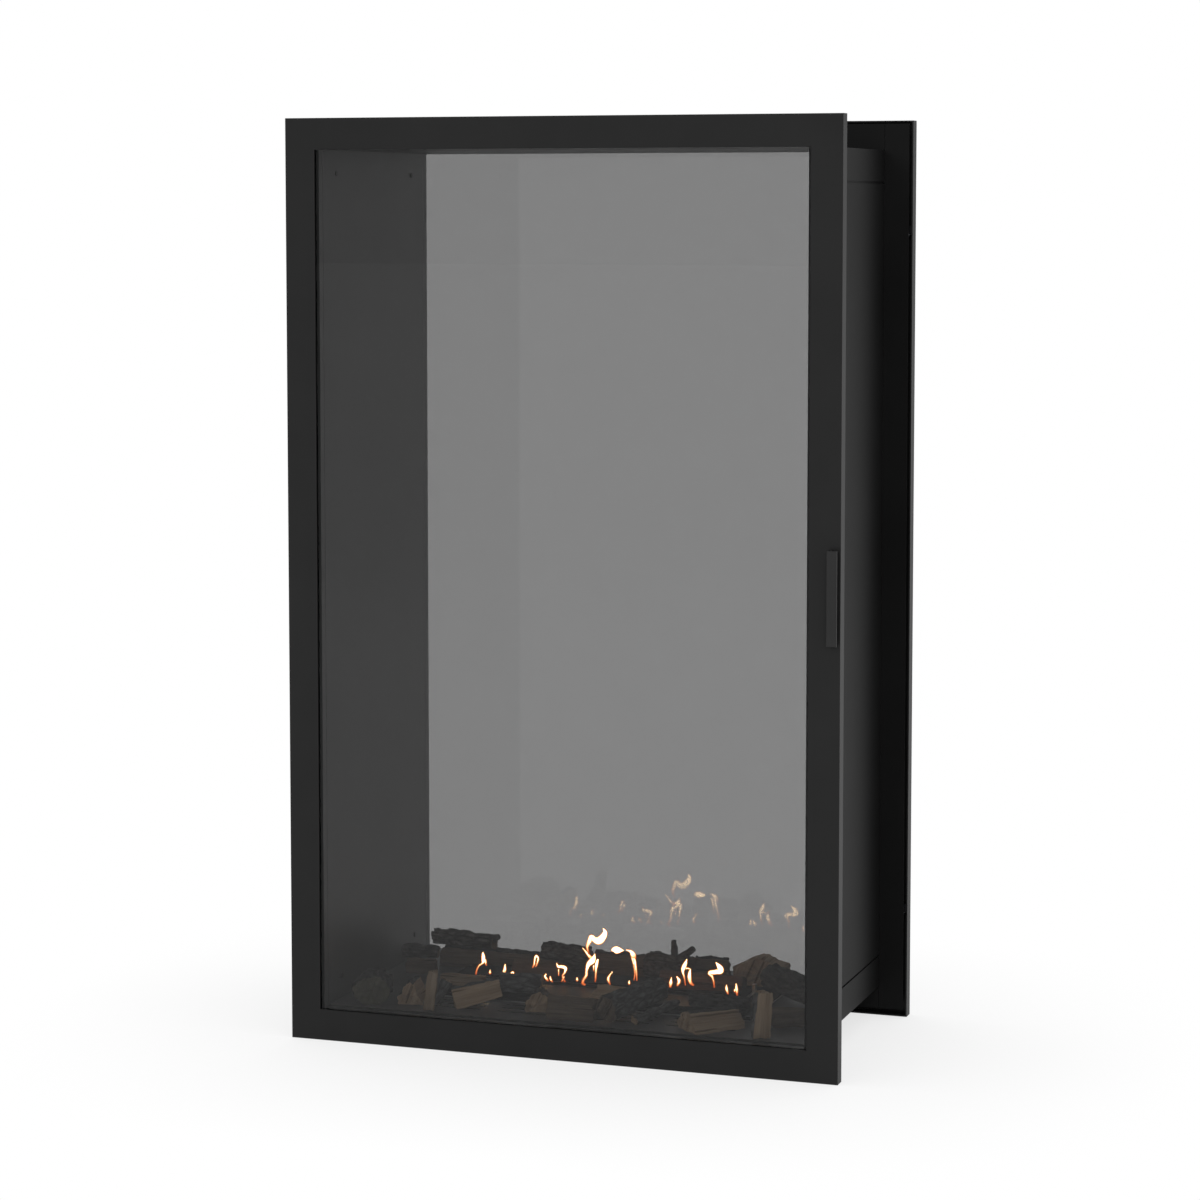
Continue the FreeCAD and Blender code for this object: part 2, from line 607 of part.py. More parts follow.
def base_rails():
    """Two channels under the floor with holes for the floor screws."""
    rails = []
    for x in mirrored_x("rail_place - rail_width / 2", "rail_place + rail_width / 2"):
        sign = -1 if x[0].startswith("-") else 1
        deep = ("-rail_length / 2", "rail_length / 2")
        web = (f"{sign} * rail_place - rail_sheet / 2", f"{sign} * rail_place + rail_sheet / 2")
        rail = fuse(box(x, deep, ("0 * rail_sheet", "rail_sheet")),
                    box(web, deep, ("0 * rail_sheet", "rail_height")),
                    box(x, deep, ("rail_height - rail_sheet", "rail_height")))
        spot = f"{sign} * (rail_place + rail_width / 4)"
        pitch = [f"{way} * rail_hole_pitch / 2" for way in (-1, 1)]
        holes = [rod("rail_hole_radius", "3 * rail_sheet", spot, y, "-rail_sheet") for y in pitch]
        rails.append(cut(rail, *holes))
    keep("base_rails", group(*rails))


def burner_screw_places():
    """Corners of the burner's foot where its screws are."""
    return [(f"{a} * (foot_x - burner_screw_set)", f"{b} * (foot_y - burner_screw_set)")
            for a in (-1, 1) for b in (-1, 1)]


def burner():
    """The fuel tank in the floor, its filling, its cover with the flame slot, the runners and the screws."""
    def holes(low, length):
        return [rod("burner_screw_radius + thread_play", length, x, y, low) for x, y in burner_screw_places()]

    tank = doc.addObject("PartDesign::Body", "Tank")
    outline = sketch(tank, "XY_Plane", "tank_low", ring("tank_x", "-tank_y", "tank_y"))
    pad(tank, outline, "tank_top - tank_low")
    pad(tank, sketch(tank, "XY_Plane", "floor_top", ring("foot_x", "-foot_y", "foot_y")), "tank_wall")
    hollow = ring("tank_x - tank_wall", "tank_wall - tank_y", "tank_y - tank_wall")
    pocket(tank, sketch(tank, "XY_Plane", "tank_top", hollow), "tank_top - tank_low - tank_wall")
    keep("burner_tank", cut(tank, *holes("floor_top - tank_wall", "3 * tank_wall")))

    wool = doc.addObject("PartDesign::Body", "Wool")
    inside = ring("tank_x - tank_wall - wool_play", "tank_wall + wool_play - tank_y",
                  "tank_y - tank_wall - wool_play")
    pad(wool, sketch(wool, "XY_Plane", "tank_low + tank_wall", inside), "wool_height")
    keep("burner_wool", wool)

    cover = doc.addObject("PartDesign::Body", "Cover")
    pad(cover, sketch(cover, "XY_Plane", "tank_top", ring("cover_x", "-cover_y", "cover_y")), "cover_height")
    pad(cover, sketch(cover, "XY_Plane", "tank_top", ring("foot_x", "-foot_y", "foot_y")), "tank_wall")
    under = ring("cover_x - tank_wall", "tank_wall - cover_y", "cover_y - tank_wall")
    pocket(cover, sketch(cover, "XY_Plane", "tank_top", under), "cover_height - tank_wall", True)
    slot = ring("flame_length / 2", "-flame_width / 2", "flame_width / 2")
    slit = rectangle(("lug_x - lug_play", "lug_x + lug_width + lug_play"),
                     ("lug_y - damper_travel - lug_play", "lug_y + lug_deep + lug_play"))
    pocket(cover, sketch(cover, "XY_Plane", "cover_top", slot, slit), "2 * tank_wall")
    top, wide, deep = (number(word) for word in ("cover_top", "cover_x", "cover_y"))

    def top_edge(edge):
        spot = edge.CenterOfMass
        return spot.z > top - 0.01 and max(abs(spot.x) - wide, abs(spot.y) - deep) > -0.01

    round_edges(cover, "Fillet", "edge_round", top_edge)
    keep("burner_cover", cut(cover, *holes("tank_top - tank_wall", "3 * tank_wall")))

    runners = []
    for x in mirrored_x("cover_x - tank_wall - runner_width", "cover_x - tank_wall"):
        runners.append(box(x, ("tank_wall - cover_y", "cover_y - tank_wall"),
                           ("runner_top - runner_height", "runner_top")))
    keep("damper_runners", group(*runners))

    screws = []
    for x, y in burner_screw_places():
        top = "tank_top + tank_wall"
        shank = rod("burner_screw_radius", "burner_screw_length", x, y, f"{top} - burner_screw_length")
        screws.append(fuse(shank, rod("burner_screw_head", "burner_screw_cap", x, y, top)))
    keep("burner_screws", group(*screws))


def damper():
    """The sliding plate beside the flame slot, with a lug that a hook takes hold of."""
    plate = doc.addObject("PartDesign::Body", "Plate")
    outline = ring("damper_x", "damper_front", "damper_front + damper_width")
    pad(plate, sketch(plate, "XY_Plane", "damper_low", outline), "damper_sheet")
    lug = rectangle(("lug_x", "lug_x + lug_width"), ("lug_y", "lug_y + lug_deep"))
    pad(plate, sketch(plate, "XY_Plane", "damper_low", lug), "cover_top + lug_height - damper_low")
    eye = rod("lug_hole_radius", "3 * lug_width", "lug_x - lug_width", "lug_y + lug_deep / 2",
              "cover_top + lug_height / 2", (1, 0, 0))
    keep("damper", cut(plate, eye))


def hull_planes(points, faces):
    """Planes of a bulging solid, as outward normal and distance."""
    middle = sum(points, FreeCAD.Vector()) * (1 / len(points))
    planes = []
    for face in faces:
        a, b, c = (points[i] for i in face[:3])
        normal = (b - a).cross(c - a).normalize()
        if normal.dot(middle - a) > 0:
            normal = -normal
        planes.append((normal, normal.dot(a)))
    return planes


def span(planes, x, y):
    """Lowest and highest point of a bulging solid on a vertical line, or None beside it."""
    low, high = -math.inf, math.inf
    for normal, reach in planes:
        rest = reach - normal.x * x - normal.y * y
        if normal.z < -1e-6:
            low = max(low, rest / normal.z)
        elif normal.z > 1e-6:
            high = min(high, rest / normal.z)
        elif rest < 0:
            return None
    return (low, high) if low <= high else None


def clearance(upper, lower):
    """Least height of one bulging solid over another, found on a grid that closes in on it."""
    (ax, ay, bx, by), planes = upper
    (cx, cy, dx, dy), other = lower
    x0, y0, x1, y1 = max(ax, cx), max(ay, cy), min(bx, dx), min(by, dy)
    best = (math.inf, 0, 0)
    steps = 36
    for turn in range(3):
        if x0 >= x1 or y0 >= y1:
            break
        for i in range(steps + 1):
            for j in range(steps + 1):
                x, y = x0 + (x1 - x0) * i / steps, y0 + (y1 - y0) * j / steps
                above, below = span(planes, x, y), span(other, x, y)
                if above and below:
                    best = min(best, (above[0] - below[1], x, y))
        if best[0] == math.inf:
            break
        reach_x, reach_y = 1.5 * (x1 - x0) / steps, 1.5 * (y1 - y0) / steps
        x0, x1 = max(x0, best[1] - reach_x), min(x1, best[1] + reach_x)
        y0, y1 = max(y0, best[2] - reach_y), min(y1, best[2] + reach_y)
    return best[0]


def plan(points):
    """Outline of a solid's shadow on the floor."""
    xs, ys = [p.x for p in points], [p.y for p in points]
    return min(xs), min(ys), max(xs), max(ys)


def block_hull(x, y, z):
    """A block of the burner as something that logs can lie on."""
    corners = ((x[0], y[0]), (x[1], y[0]), (x[1], y[1]), (x[0], y[1]))
    points = [FreeCAD.Vector(a, b, c) for c in z for a, b in corners]
    faces = ((0, 1, 2), (4, 5, 6), (0, 1, 5), (1, 2, 6), (2, 3, 7), (3, 0, 4))
    return plan(points), hull_planes(points, faces)


def log_solid(name, kind, place, laid):
    """One log, a slightly tapered prism, lowered until it lies on the floor, the burner or other logs."""
    across, deep, turn, tilt, roll = place
    length, width, height = (number(f"{name}_{word}") for word in ("length", "width", "height"))
    section = SECTIONS[kind]
    count = len(section)
    taper = number("log_taper")
    spin = FreeCAD.Rotation(turn, -tilt, roll)
    points = []
    for end, scale in ((-0.5, 1), (0.5, taper)):
        for u, v in section:
            corner = FreeCAD.Vector(end * length, u * width * scale, v * height * scale)
            points.append(spin.multVec(corner))
    spot = FreeCAD.Vector(across * number("liner_in"), -deep * number("rim_end"), 0) * 0.01
    points = [p + spot for p in points]
    faces = [tuple(range(count)), tuple(range(count, 2 * count))]
    faces += [(i, (i + 1) % count, count + (i + 1) % count, count + i) for i in range(count)]
    high = 4 * number("frame_border") + length
    points = [p + FreeCAD.Vector(0, 0, high) for p in points]
    hull = plan(points), hull_planes(points, faces)
    fall = min([min(p.z for p in points) - number("floor_top")] + [clearance(hull, other) for other in laid])
    points = [p - FreeCAD.Vector(0, 0, fall - number("log_rest")) for p in points]
    laid.append((plan(points), hull_planes(points, faces)))
    shells = [Part.Face(Part.makePolygon([points[i] for i in face] + [points[face[0]]])) for face in faces]
    return Part.Solid(Part.makeShell(shells))


def log_set():
    """All logs, laid one after another."""
    foot, tall = number("tank_top + tank_wall"), number("cover_top")
    x_foot, y_foot, x_cover, y_cover = (number(word) for word in ("foot_x", "foot_y", "cover_x", "cover_y"))
    low, head, cap = (number(word) for word in ("floor_low", "burner_screw_head", "burner_screw_cap"))
    laid = [block_hull((-x_foot, x_foot), (-y_foot, y_foot), (low, foot)),
            block_hull((-x_cover, x_cover), (-y_cover, y_cover), (low, tall))]
    for place in burner_screw_places():
        x, y = (number(text) for text in place)
        laid.append(block_hull((x - head, x + head), (y - head, y + head), (low, foot + cap)))
    twigs = []
    for name, (kind, length, width, height, *place) in {**LOGS, **KINDLING}.items():
        solid = log_solid(name, kind, place, laid)
        if name in KINDLING:
            twigs.append(solid)
            continue
        log = doc.addObject("Part::Feature", name)
        log.Shape = solid
        keep(name, log)
    small = doc.addObject("Part::Feature", "kindling")
    small.Shape = Part.makeCompound(twigs)
    keep("kindling", small)


def write_parts():
    """Checks every object and writes one file per sub-part."""
    doc.recompute()
    failed = [thing.Label for thing in doc.Objects if "Invalid" in thing.State or "Error" in thing.State]
    failed += [label for label, thing in PARTS.items() if thing.Shape.isNull() or not thing.Shape.isValid()]
    if failed:
        raise RuntimeError(f"failed objects: {failed}")
    os.makedirs("parts", exist_ok=True)
    for label, thing in PARTS.items():
        thing.Shape.exportStep(os.path.join("parts", f"{label}.step"))
    print(len(PARTS), "parts", sum(len(thing.Shape.Solids) for thing in PARTS.values()), "solids")


fill_sheet()
casing_pans()
casing_sides()
base_rails()
casing_hinges()
casing_magnets()
for door in ("front", "rear"):
    door_frame(door)
    door_glazing(door)
    door_hinge_blocks(door)
    door_handle(door)
    door_strikes(door)
burner()
damper()
log_set()
write_parts()
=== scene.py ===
"""Looks of the double-sided ethanol fireplace: steel, glass, fixings, the log set and the flames."""
import json
import math
from collections import namedtuple

import bpy
from mathutils import Euler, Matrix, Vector, noise


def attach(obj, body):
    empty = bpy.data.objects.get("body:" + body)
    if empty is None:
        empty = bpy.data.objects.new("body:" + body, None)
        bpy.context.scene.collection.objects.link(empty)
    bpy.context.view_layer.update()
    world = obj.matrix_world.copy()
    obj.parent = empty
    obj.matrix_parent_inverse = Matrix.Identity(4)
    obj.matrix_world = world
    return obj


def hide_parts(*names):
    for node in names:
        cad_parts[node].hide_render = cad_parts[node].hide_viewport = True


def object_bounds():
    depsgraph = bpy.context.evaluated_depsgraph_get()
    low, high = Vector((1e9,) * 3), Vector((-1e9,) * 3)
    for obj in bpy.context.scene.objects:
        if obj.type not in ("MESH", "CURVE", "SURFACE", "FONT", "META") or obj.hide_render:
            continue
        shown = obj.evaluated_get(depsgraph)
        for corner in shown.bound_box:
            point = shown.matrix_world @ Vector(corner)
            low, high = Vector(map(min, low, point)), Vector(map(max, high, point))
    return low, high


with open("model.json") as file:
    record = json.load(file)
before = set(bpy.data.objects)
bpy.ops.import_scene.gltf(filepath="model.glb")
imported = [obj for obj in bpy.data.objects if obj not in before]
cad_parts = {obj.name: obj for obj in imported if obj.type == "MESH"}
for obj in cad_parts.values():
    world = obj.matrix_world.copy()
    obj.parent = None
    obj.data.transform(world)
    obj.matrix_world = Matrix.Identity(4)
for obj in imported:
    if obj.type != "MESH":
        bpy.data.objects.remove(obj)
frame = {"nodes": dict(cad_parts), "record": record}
cad_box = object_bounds()
SOLIDS = frame["nodes"]
MM = 0.001

# Half width and half depth of the hearth, in millimetres
HEARTH = (352, 188)

# Least upward share of the normal of a floor face that gets the hearth coat, a lighter black that is painted
# light on the fire box floor
UPWARD = 0.9

# One log: section, sizes in millimetres, place in percent of the hearth, turns in degrees, bark and wood
Log = namedtuple("Log", "kind length width height across deep turn tilt roll bark wood")
LOGS = {
    "log_back_split": Log("slab", 146, 46, 27, -62.0, 60.4, 2, 0, 0, "bark_dark", "wood_brown"),
    "log_flaky_bark": Log("round", 72, 42, 43, -28.0, 62.8, 6, 0, 20, "bark_flaky", "wood_brown"),
    "log_knots": Log("round", 68, 42, 47, 19.3, 62.8, -5, 0, 50, "bark_flaky", "wood_brown"),
    "log_back_brown": Log("split", 50, 38, 33, 33.2, 79.0, 8, 0, 0, "bark_dark", "wood_brown"),
    "log_roof": Log("roof", 46, 82, 46, 57.0, 66.0, 92, 0, 0, "bark_grey", "wood_tan"),
    "log_dark_right": Log("round", 92, 42, 36, 76.0, 24.0, -30, -7, 10, "bark_dark", "wood_brown"),
    "log_brown_mid": Log("half", 70, 30, 22, -34.3, 25.5, -3, 0, 0, "wood_brown", "wood_brown"),
    "log_red_brown": Log("half", 124, 38, 22, 38.0, 23.0, 2, 0, 0, "wood_red", "wood_red"),
    "log_plank": Log("plank", 62, 28, 14, -57.0, -25.5, 4, 0, 0, "bark_dark", "wood_worn"),
    "log_grey_bark": Log("round", 60, 30, 28, -29.0, -35.5, 7, 0, 35, "bark_grey", "wood_tan"),
    "log_round_left": Log("round", 62, 56, 43, -86.0, -73.5, 106, 0, 0, "bark_dark", "wood_olive"),
    "log_split_left": Log("split", 50, 36, 34, -70.2, -66.0, 100, 0, 0, "bark_grey", "wood_tan"),
    "log_upright_left": Log("plank", 55, 20, 15, -55.8, -88.0, 20, 84, 0, "bark_dark", "wood_worn"),
    "log_diagonal": Log("split", 68, 40, 28, -42.0, -66.0, 28, 14.0, 0, "bark_grey", "wood_tan"),
    "log_tan_end": Log("half", 38, 38, 30, -17.0, -60.8, 104, 0, 0, "bark_dark", "wood_tan"),
    "log_brown_low": Log("half", 68, 44, 33, 0.6, -78.0, 4, 0, 0, "wood_brown", "wood_brown"),
    "log_big_diagonal": Log("round", 112, 40, 38, 21.5, -58.0, 66, 6, 15, "bark_grey", "wood_brown"),
    "log_tan_block": Log("split", 80, 56, 28, 57.3, -72.8, 46, 0, 0, "bark_dark", "wood_tan"),
    "log_bark_strip": Log("round", 88, 21, 18, 54.8, -31.5, 3, 0, 40, "bark_dark", "wood_brown"),
    "log_upright_right": Log("split", 62, 26, 24, 81.5, -84.0, 50, 85, 0, "bark_grey", "wood_tan"),
    "log_low_brown": Log("half", 58, 38, 25, 85.8, -44.0, 24, 0, 0, "wood_brown", "wood_brown"),
    "log_back_bark": Log("round", 100, 26, 23, -73.5, 61.5, -5, 0, 30, "bark_flaky", "wood_brown"),
}
KINDLING = {
    "dark_stub": Log("half", 44, 30, 22, -86.0, 23.4, 14, 0, 0, "wood_brown", "wood_brown"),
    "small_charred": Log("round", 54, 23, 20, -86.4, 25.0, 8, 0, 10, "bark_dark", "wood_brown"),
    "bark_stub": Log("round", 35, 24, 20, -55.0, -70.0, 24, 60, 0, "bark_grey", "wood_tan"),
    "back_small": Log("split", 76, 32, 37, -4.0, 61.7, 10, 0, 0, "bark_flaky", "wood_brown"),
    "flat_tan": Log("plank", 48, 40, 16, 10.0, -41.0, -4, 0, 23, "bark_dark", "wood_tan"),
    "branch": Log("round", 90, 14, 13, 32.5, -61.0, 66, 7, 0, "bark_grey", "wood_tan"),
}
LOG_TAPER = 0.92

# Broken twigs on logs: base, tip and radius, in millimetres
STUBS = {
    "log_knots": (((72, 104, 68), (71, 104, 96), 5.2), ((80, 104, 68), (102, 101, 87), 6.0)),
    "log_back_bark": (((-222, 109, 72), (-203, 105, 81), 6.0),),
}

# Cross-sections as in the solids, each with the numbers of the sides that are split wood
SECTIONS = {
    "round": (((-0.22, 0), (0.2, 0.02), (0.45, 0.24), (0.5, 0.6), (0.26, 0.94), (-0.14, 1), (-0.44, 0.76),
               (-0.5, 0.32)), ()),
    "split": (((-0.5, 0), (0.46, 0), (0.5, 0.3), (0.3, 0.74), (0.02, 1), (-0.16, 0.92)), (0, 5)),
    "half": (((-0.48, 0), (0.5, 0), (0.46, 0.42), (0.24, 0.88), (-0.1, 1), (-0.4, 0.74), (-0.5, 0.34)), (0,)),
    "plank": (((-0.5, 0), (0.48, 0), (0.5, 0.84), (-0.44, 1)), (0, 2, 3)),
    "slab": (((-0.5, 0), (0.5, 0), (0.48, 0.7), (0.34, 0.96), (-0.36, 1), (-0.5, 0.62)), (0, 4, 5)),
    "roof": (((-0.5, 0), (0.5, 0), (0.48, 0.64), (0.06, 1), (-0.04, 0.98), (-0.46, 0.7)), (0, 1, 2, 3, 4, 5)),
}

# A corner this near to its solid is found, and one this far off is an error, in millimetres
CORNER_FOUND = 0.05
CORNER_LOST = 1.0

# Skin of the logs: distance of its points and the most that it stands out of the solid, in millimetres
SKIN_STEP = 1.7
MOST_SWELL = 1.5
LEAST_ROWS = 10
LEAST_END_RINGS = 4
SHARP_ANGLE = 32

# Relief of the skin: depths in millimetres, pitches per millimetre along and round the log
BROAD_PITCH = 0.06
WARP = 0.7
WARP_PITCH = 0.08
WOOD_BROAD = 1.6
WOOD_SINK = 0.2
SHARD_DEPTH = 0.8
SHARD_PITCH = (0.018, 0.16)
FIBRE_DEPTH = 0.6
FIBRE_PITCH = (0.03, 0.4)
BARK_BROAD = 2.6
BARK_RISE = 0.4
FURROW_DEPTH = 2.6
FURROW_NARROW = 2.6
FURROW_POWER = 1.5
FURROW_PITCH = (0.035, 0.12)
PLATE_PITCH = (0.07, 0.13)
PLATE_RISE = {"bark_dark": 0.9, "bark_grey": 0.8, "bark_flaky": 1.5}
BEND = 0.02

# A side that looks down more than this keeps only a share of its relief, so that logs lie on each other
UNDERSIDE = -0.6
UNDERSIDE_SHARE = 0.3

# Worn and broken ends: depths and reaches along the log in millimetres, pitches per millimetre
CHIP_DEPTH = 1.4
CHIP_REACH = 3
CHIP_PITCH = 0.12
CHIP_WEAR = (0.4, 0.8)
BREAK_DEPTH = 3.2
BREAK_REACH = 12
BREAK_PITCH = 0.09
BREAK_APART = 9
END_SINK = 1.0
END_ROUGH = 1.4
END_PITCH = 0.12
END_CELL_SHARE = 0.6
END_CELL_PITCH = 0.16
END_CLOSING = 0.4
END_STEEP = 3
END_SLANT = 0.4

# Steps in the noise and in the grain from one log, or one twig, to the next
NOISE_STRIDES = (17.3, 5.1, 9.7)
FURROW_STRIDE = 7.1
BREAK_STRIDE = 3.1
GRAIN_STRIDE = 3.7
STUB_STRIDE = 0.37

# Twigs: rings, points in a ring, unevenness with its pitch, taper and length of their grain in metres
STUB_RINGS = 9
STUB_SIDES = 12
STUB_UNEVEN = 0.35
STUB_PITCH = (1.3, 3)
STUB_TAPER = 0.3
STUB_GRAIN = 0.02

# Flames: strands of points across, up and half width, in millimetres
FLAMES = (
    ((-197, 49, 0.6), (-196, 56, 0.9), (-193, 62, 1.0), (-188, 66, 1.4), (-186, 70, 3.0), (-186, 78, 2.4),
     (-186, 83, 0.4)),
    ((-184, 61, 0.6), (-185, 65, 1.3), (-185, 70, 1.6)),
    ((-177, 50, 0.6), (-177, 52, 1.7), (-177, 56, 0.4)),
    ((-152, 47, 0.6), (-156, 52, 1.4), (-156, 58, 2.2), (-156, 65, 0.4)),
    ((-160, 49, 0.6), (-157, 53, 1.1), (-156, 57, 1.1)),
    ((-135, 47, 0.4), (-139, 54, 1.0), (-141, 56, 1.3), (-144, 54, 0.6)),
    ((-113, 63, 0.6), (-110, 69, 1.3), (-109, 76, 1.3), (-107, 81, 1.6), (-104, 79, 1.3), (-104, 75, 1.3),
     (-106, 69, 1.0), (-108, 65, 0.4)),
    ((-74, 74, 0.6), (-72, 69, 1.9), (-67, 69, 2.2), (-61, 67, 2.6), (-62, 61, 1.4), (-65, 55, 0.9),
     (-61, 47, 0.9)),
    ((-70, 66, 0.7), (-70, 56, 0.4)),
    ((-64, 54, 0.7), (-68, 46, 0.4)),
    ((-90, 57, 0.7), (-92, 53, 1.6), (-89, 49, 1.7), (-87, 46, 0.4)),
    ((-82, 55, 0.6), (-81, 51, 1.6), (-78, 47, 0.4)),
    ((-43, 49, 0.6), (-43, 52, 1.7), (-43, 55, 0.4)),
    ((-29, 46, 0.9), (-33, 48, 1.9), (-32, 53, 1.6), (-28, 60, 1.9), (-28, 67, 1.9), (-25, 76, 3.3),
     (-18, 83, 4.3), (-15, 92, 0.6)),
    ((-19, 80, 2.9), (-26, 87, 2.2), (-36, 98, 0.4)),
    ((-11, 84, 1.4), (-13, 77, 2.4), (-14, 67, 1.3), (-15, 56, 1.0), (-16, 50, 0.4)),
    ((-23, 91, 0.6), (-26, 102, 1.9), (-23, 111, 3.2), (-20, 117, 3.2), (-15, 113, 4.4), (-9, 112, 5.6),
     (-3, 117, 5.0), (1, 125, 3.4), (-2, 131, 0.4)),
    ((-19, 73, 1.4), (-19, 65, 0.4)),
    ((9, 98, 0.4), (13, 100, 3.4), (17, 100, 5.3), (22, 100, 3.9), (28, 100, 0.4)),
    ((33, 102, 0.4), (40, 100, 2.2), (44, 95, 3.9), (48, 90, 0.6)),
    ((39, 96, 1.6), (42, 82, 1.1), (44, 67, 0.7), (43, 57, 0.4)),
    ((43, 94, 2.0), (46, 82, 1.6), (48, 69, 1.3), (49, 58, 0.4)),
    ((13, 69, 0.4), (8, 62, 1.3), (7, 57, 1.9), (10, 50, 0.4)),
    ((36, 50, 0.4), (36, 53, 1.6), (36, 56, 0.4)),
    ((101, 67, 0.4), (100, 59, 2.4), (99, 52, 1.0)),
    ((106, 67, 0.4), (110, 61, 2.4), (107, 53, 0.9)),
    ((123, 94, 0.4), (121, 88, 2.4), (118, 81, 3.0), (117, 76, 2.0), (119, 66, 0.9), (121, 56, 0.4)),
    ((129, 81, 0.7), (128, 72, 2.7), (130, 63, 2.3), (135, 58, 1.0)),
    ((119, 80, 1.1), (124, 80, 1.0), (128, 78, 1.0)),
    ((166, 93, 0.4), (172, 86, 4.0), (173, 81, 4.3), (166, 79, 3.3), (158, 77, 3.2), (161, 72, 1.7),
     (163, 64, 1.0), (164, 56, 0.7)),
    ((184, 63, 0.4), (184, 57, 1.9), (186, 48, 0.4)),
    ((196, 64, 0.6), (197, 56, 2.0), (198, 47, 0.6)),
    ((195, 52, 0.4), (195, 55, 1.4), (196, 57, 0.4)),
)

# Build of a strand: steps between two points, points in a ring, and in millimetres its least half widths
FLAME_STEPS = 6
FLAME_SIDES = 10
LEAST_WIDTH = 0.25
LEAST_REACH = 0.2

# A strand is flatter front to back, sways by so many millimetres and stands at one of eleven depths
FLAME_FLATNESS = 0.7
FLAME_SWAY = 3
SWAY_PITCH = 0.05
SWAY_STRIDE = 1.7
FLAME_DEPTHS = 11
DEPTH_STRIDE = 7

# The cores are thinner than the strands and the veils wider, in millimetres
CORE_EXTRA = -0.75
VEIL_EXTRA = 0.5

# Noise values lie mostly between these two, and fine bumps are this deep in metres
NOISE_LOW = 0.3
NOISE_HIGH = 0.7
FINE_BUMP = 0.0002

# How far a powder coat varies about its tone, as a share, and about its roughness
TONE_SPREAD = 0.1
ROUGH_SPREAD = 0.05

# Studio: strength of the sky as light, share of the surroundings in reflections, floor in metres
SKY_LIGHT = 0.5
REFLECTED_SHARE = 0.6
FLOOR_CLEARANCE = 0.0005
FLOOR_SIDE = 60
FLOOR_BACK = 90
SHADOW_REACH = 0.5
SHADOW_TONES = (0.72, 1.0)

# Lamps: place, aim and size in metres, and power in watts
LAMPS = {
    "key": ((2.0, -4.4, 2.8), (0.1, 0, 0.6), 2.2, 40),
    "front": ((-2.5, -4.5, 3.2), (0, 0, 0.6), 3.0, 55),
    "back": ((-1.0, 4.0, 3.0), (0, 0, 0.5), 3.0, 60),
}

# Camera: lens and sensor in millimetres, lens shift, place in metres, turns down and round in degrees
LENS = 98.48
SENSOR = 36
LENS_SHIFT = -0.10
EYE = (1.49328, -4.41072, 1.16455)
LOOKS_DOWN = 4.748
LOOKS_ROUND = 18.799


class Finish:
    """A material's node tree, built in short steps."""

    def __init__(self, name):
        self.material = bpy.data.materials.new(name)
        self.material.use_nodes = True
        self.tree = self.material.node_tree
        self.shader = self.tree.nodes["Principled BSDF"]
        self.output = self.tree.nodes["Material Output"]

    def add(self, kind, inputs=None, **settings):
        """A new shader node with its settings and inputs."""
        node = self.tree.nodes.new(f"ShaderNode{kind}")
        for key, value in settings.items():
            setattr(node, key, value)
        for key, value in (inputs or {}).items():
            self.put(node, key, value)
        return node

    def put(self, node, key, value):
        """Gives an input a value, or links it to an output."""
        socket = node.inputs[key]
        if isinstance(value, bpy.types.NodeSocket):
            self.tree.links.new(value, socket)
        else:
            socket.default_value = value

    def set(self, **values):
        """Sets inputs of the main shader, with underscores for the spaces in their names."""
        for key, value in values.items():
            self.put(self.shader, key.replace("_", " "), value)

    def place(self, stretch=(1, 1, 1), source=None):
        """Coordinates, stretched: those of the object in metres unless a source is given."""
        if source is None:
            source = self.add("TexCoord").outputs["Object"]
        return self.add("Mapping", {"Vector": source, "Scale": stretch}).outputs["Vector"]

    def grain(self):
        """Places along and round a log, in metres."""
        return self.add("Attribute", attribute_name="grain").outputs["Vector"]

    def noise(self, place, scale, detail, rough=0.55):
        """Cloudy values between nought and one."""
        inputs = {"Vector": place, "Scale": scale, "Detail": detail, "Roughness": rough}
        return self.add("TexNoise", inputs).outputs["Fac"]

    def ramp(self, value, stops):
        """Colours for values, from pairs of value and colour."""
        node = self.add("ValToRGB", {"Fac": value})
        band = node.color_ramp.elements
        while len(band) < len(stops):
            band.new(0.5)
        for stop, (where, colour) in zip(band, stops):
            stop.position = where
            stop.color = (*colour, 1)
        return node.outputs["Color"]

    def span(self, value, low, high):
        """A value between nought and one spread between two numbers."""
        return self.add("MapRange", {"Value": value, "To Min": low, "To Max": high}).outputs["Result"]

    def mix(self, first, second, share):
        """Two values mixed, with the share of the second."""
        return self.add("Mix", {"Factor": share, "A": first, "B": second}).outputs["Result"]

    def math(self, operation, first, second):
        """Two values joined by an operation."""
        return self.add("Math", {0: first, 1: second}, operation=operation).outputs["Value"]

    def bump(self, height, strength, distance):
        """Normals of a relief whose distance is in metres."""
        inputs = {"Height": height, "Strength": strength, "Distance": distance}
        return self.add("Bump", inputs).outputs["Normal"]


def grey(value, warm=0.0):
    """A grey, with more red and less blue where it is warm."""
    return (value * (1 + warm), value, value * (1 - warm))


def powder_coat(name, tone, rough, level, grit):
    """Satin black powder coat with a fine orange-peel skin and a faint unevenness of tone."""
    m = Finish(name)
    cloud = m.noise(m.place(), scale=7, detail=3)
    peel = m.noise(m.place(), scale=1400, detail=2)
    dark, light = grey(tone * (1 - TONE_SPREAD)), grey(tone * (1 + TONE_SPREAD))
    m.set(Base_Color=m.ramp(cloud, ((NOISE_LOW, dark), (NOISE_HIGH, light))))
    m.set(Roughness=m.span(peel, rough - ROUGH_SPREAD, rough + ROUGH_SPREAD))
    m.set(Specular_IOR_Level=level)
    m.set(Normal=m.bump(peel, strength=grit, distance=FINE_BUMP))
    return m.material


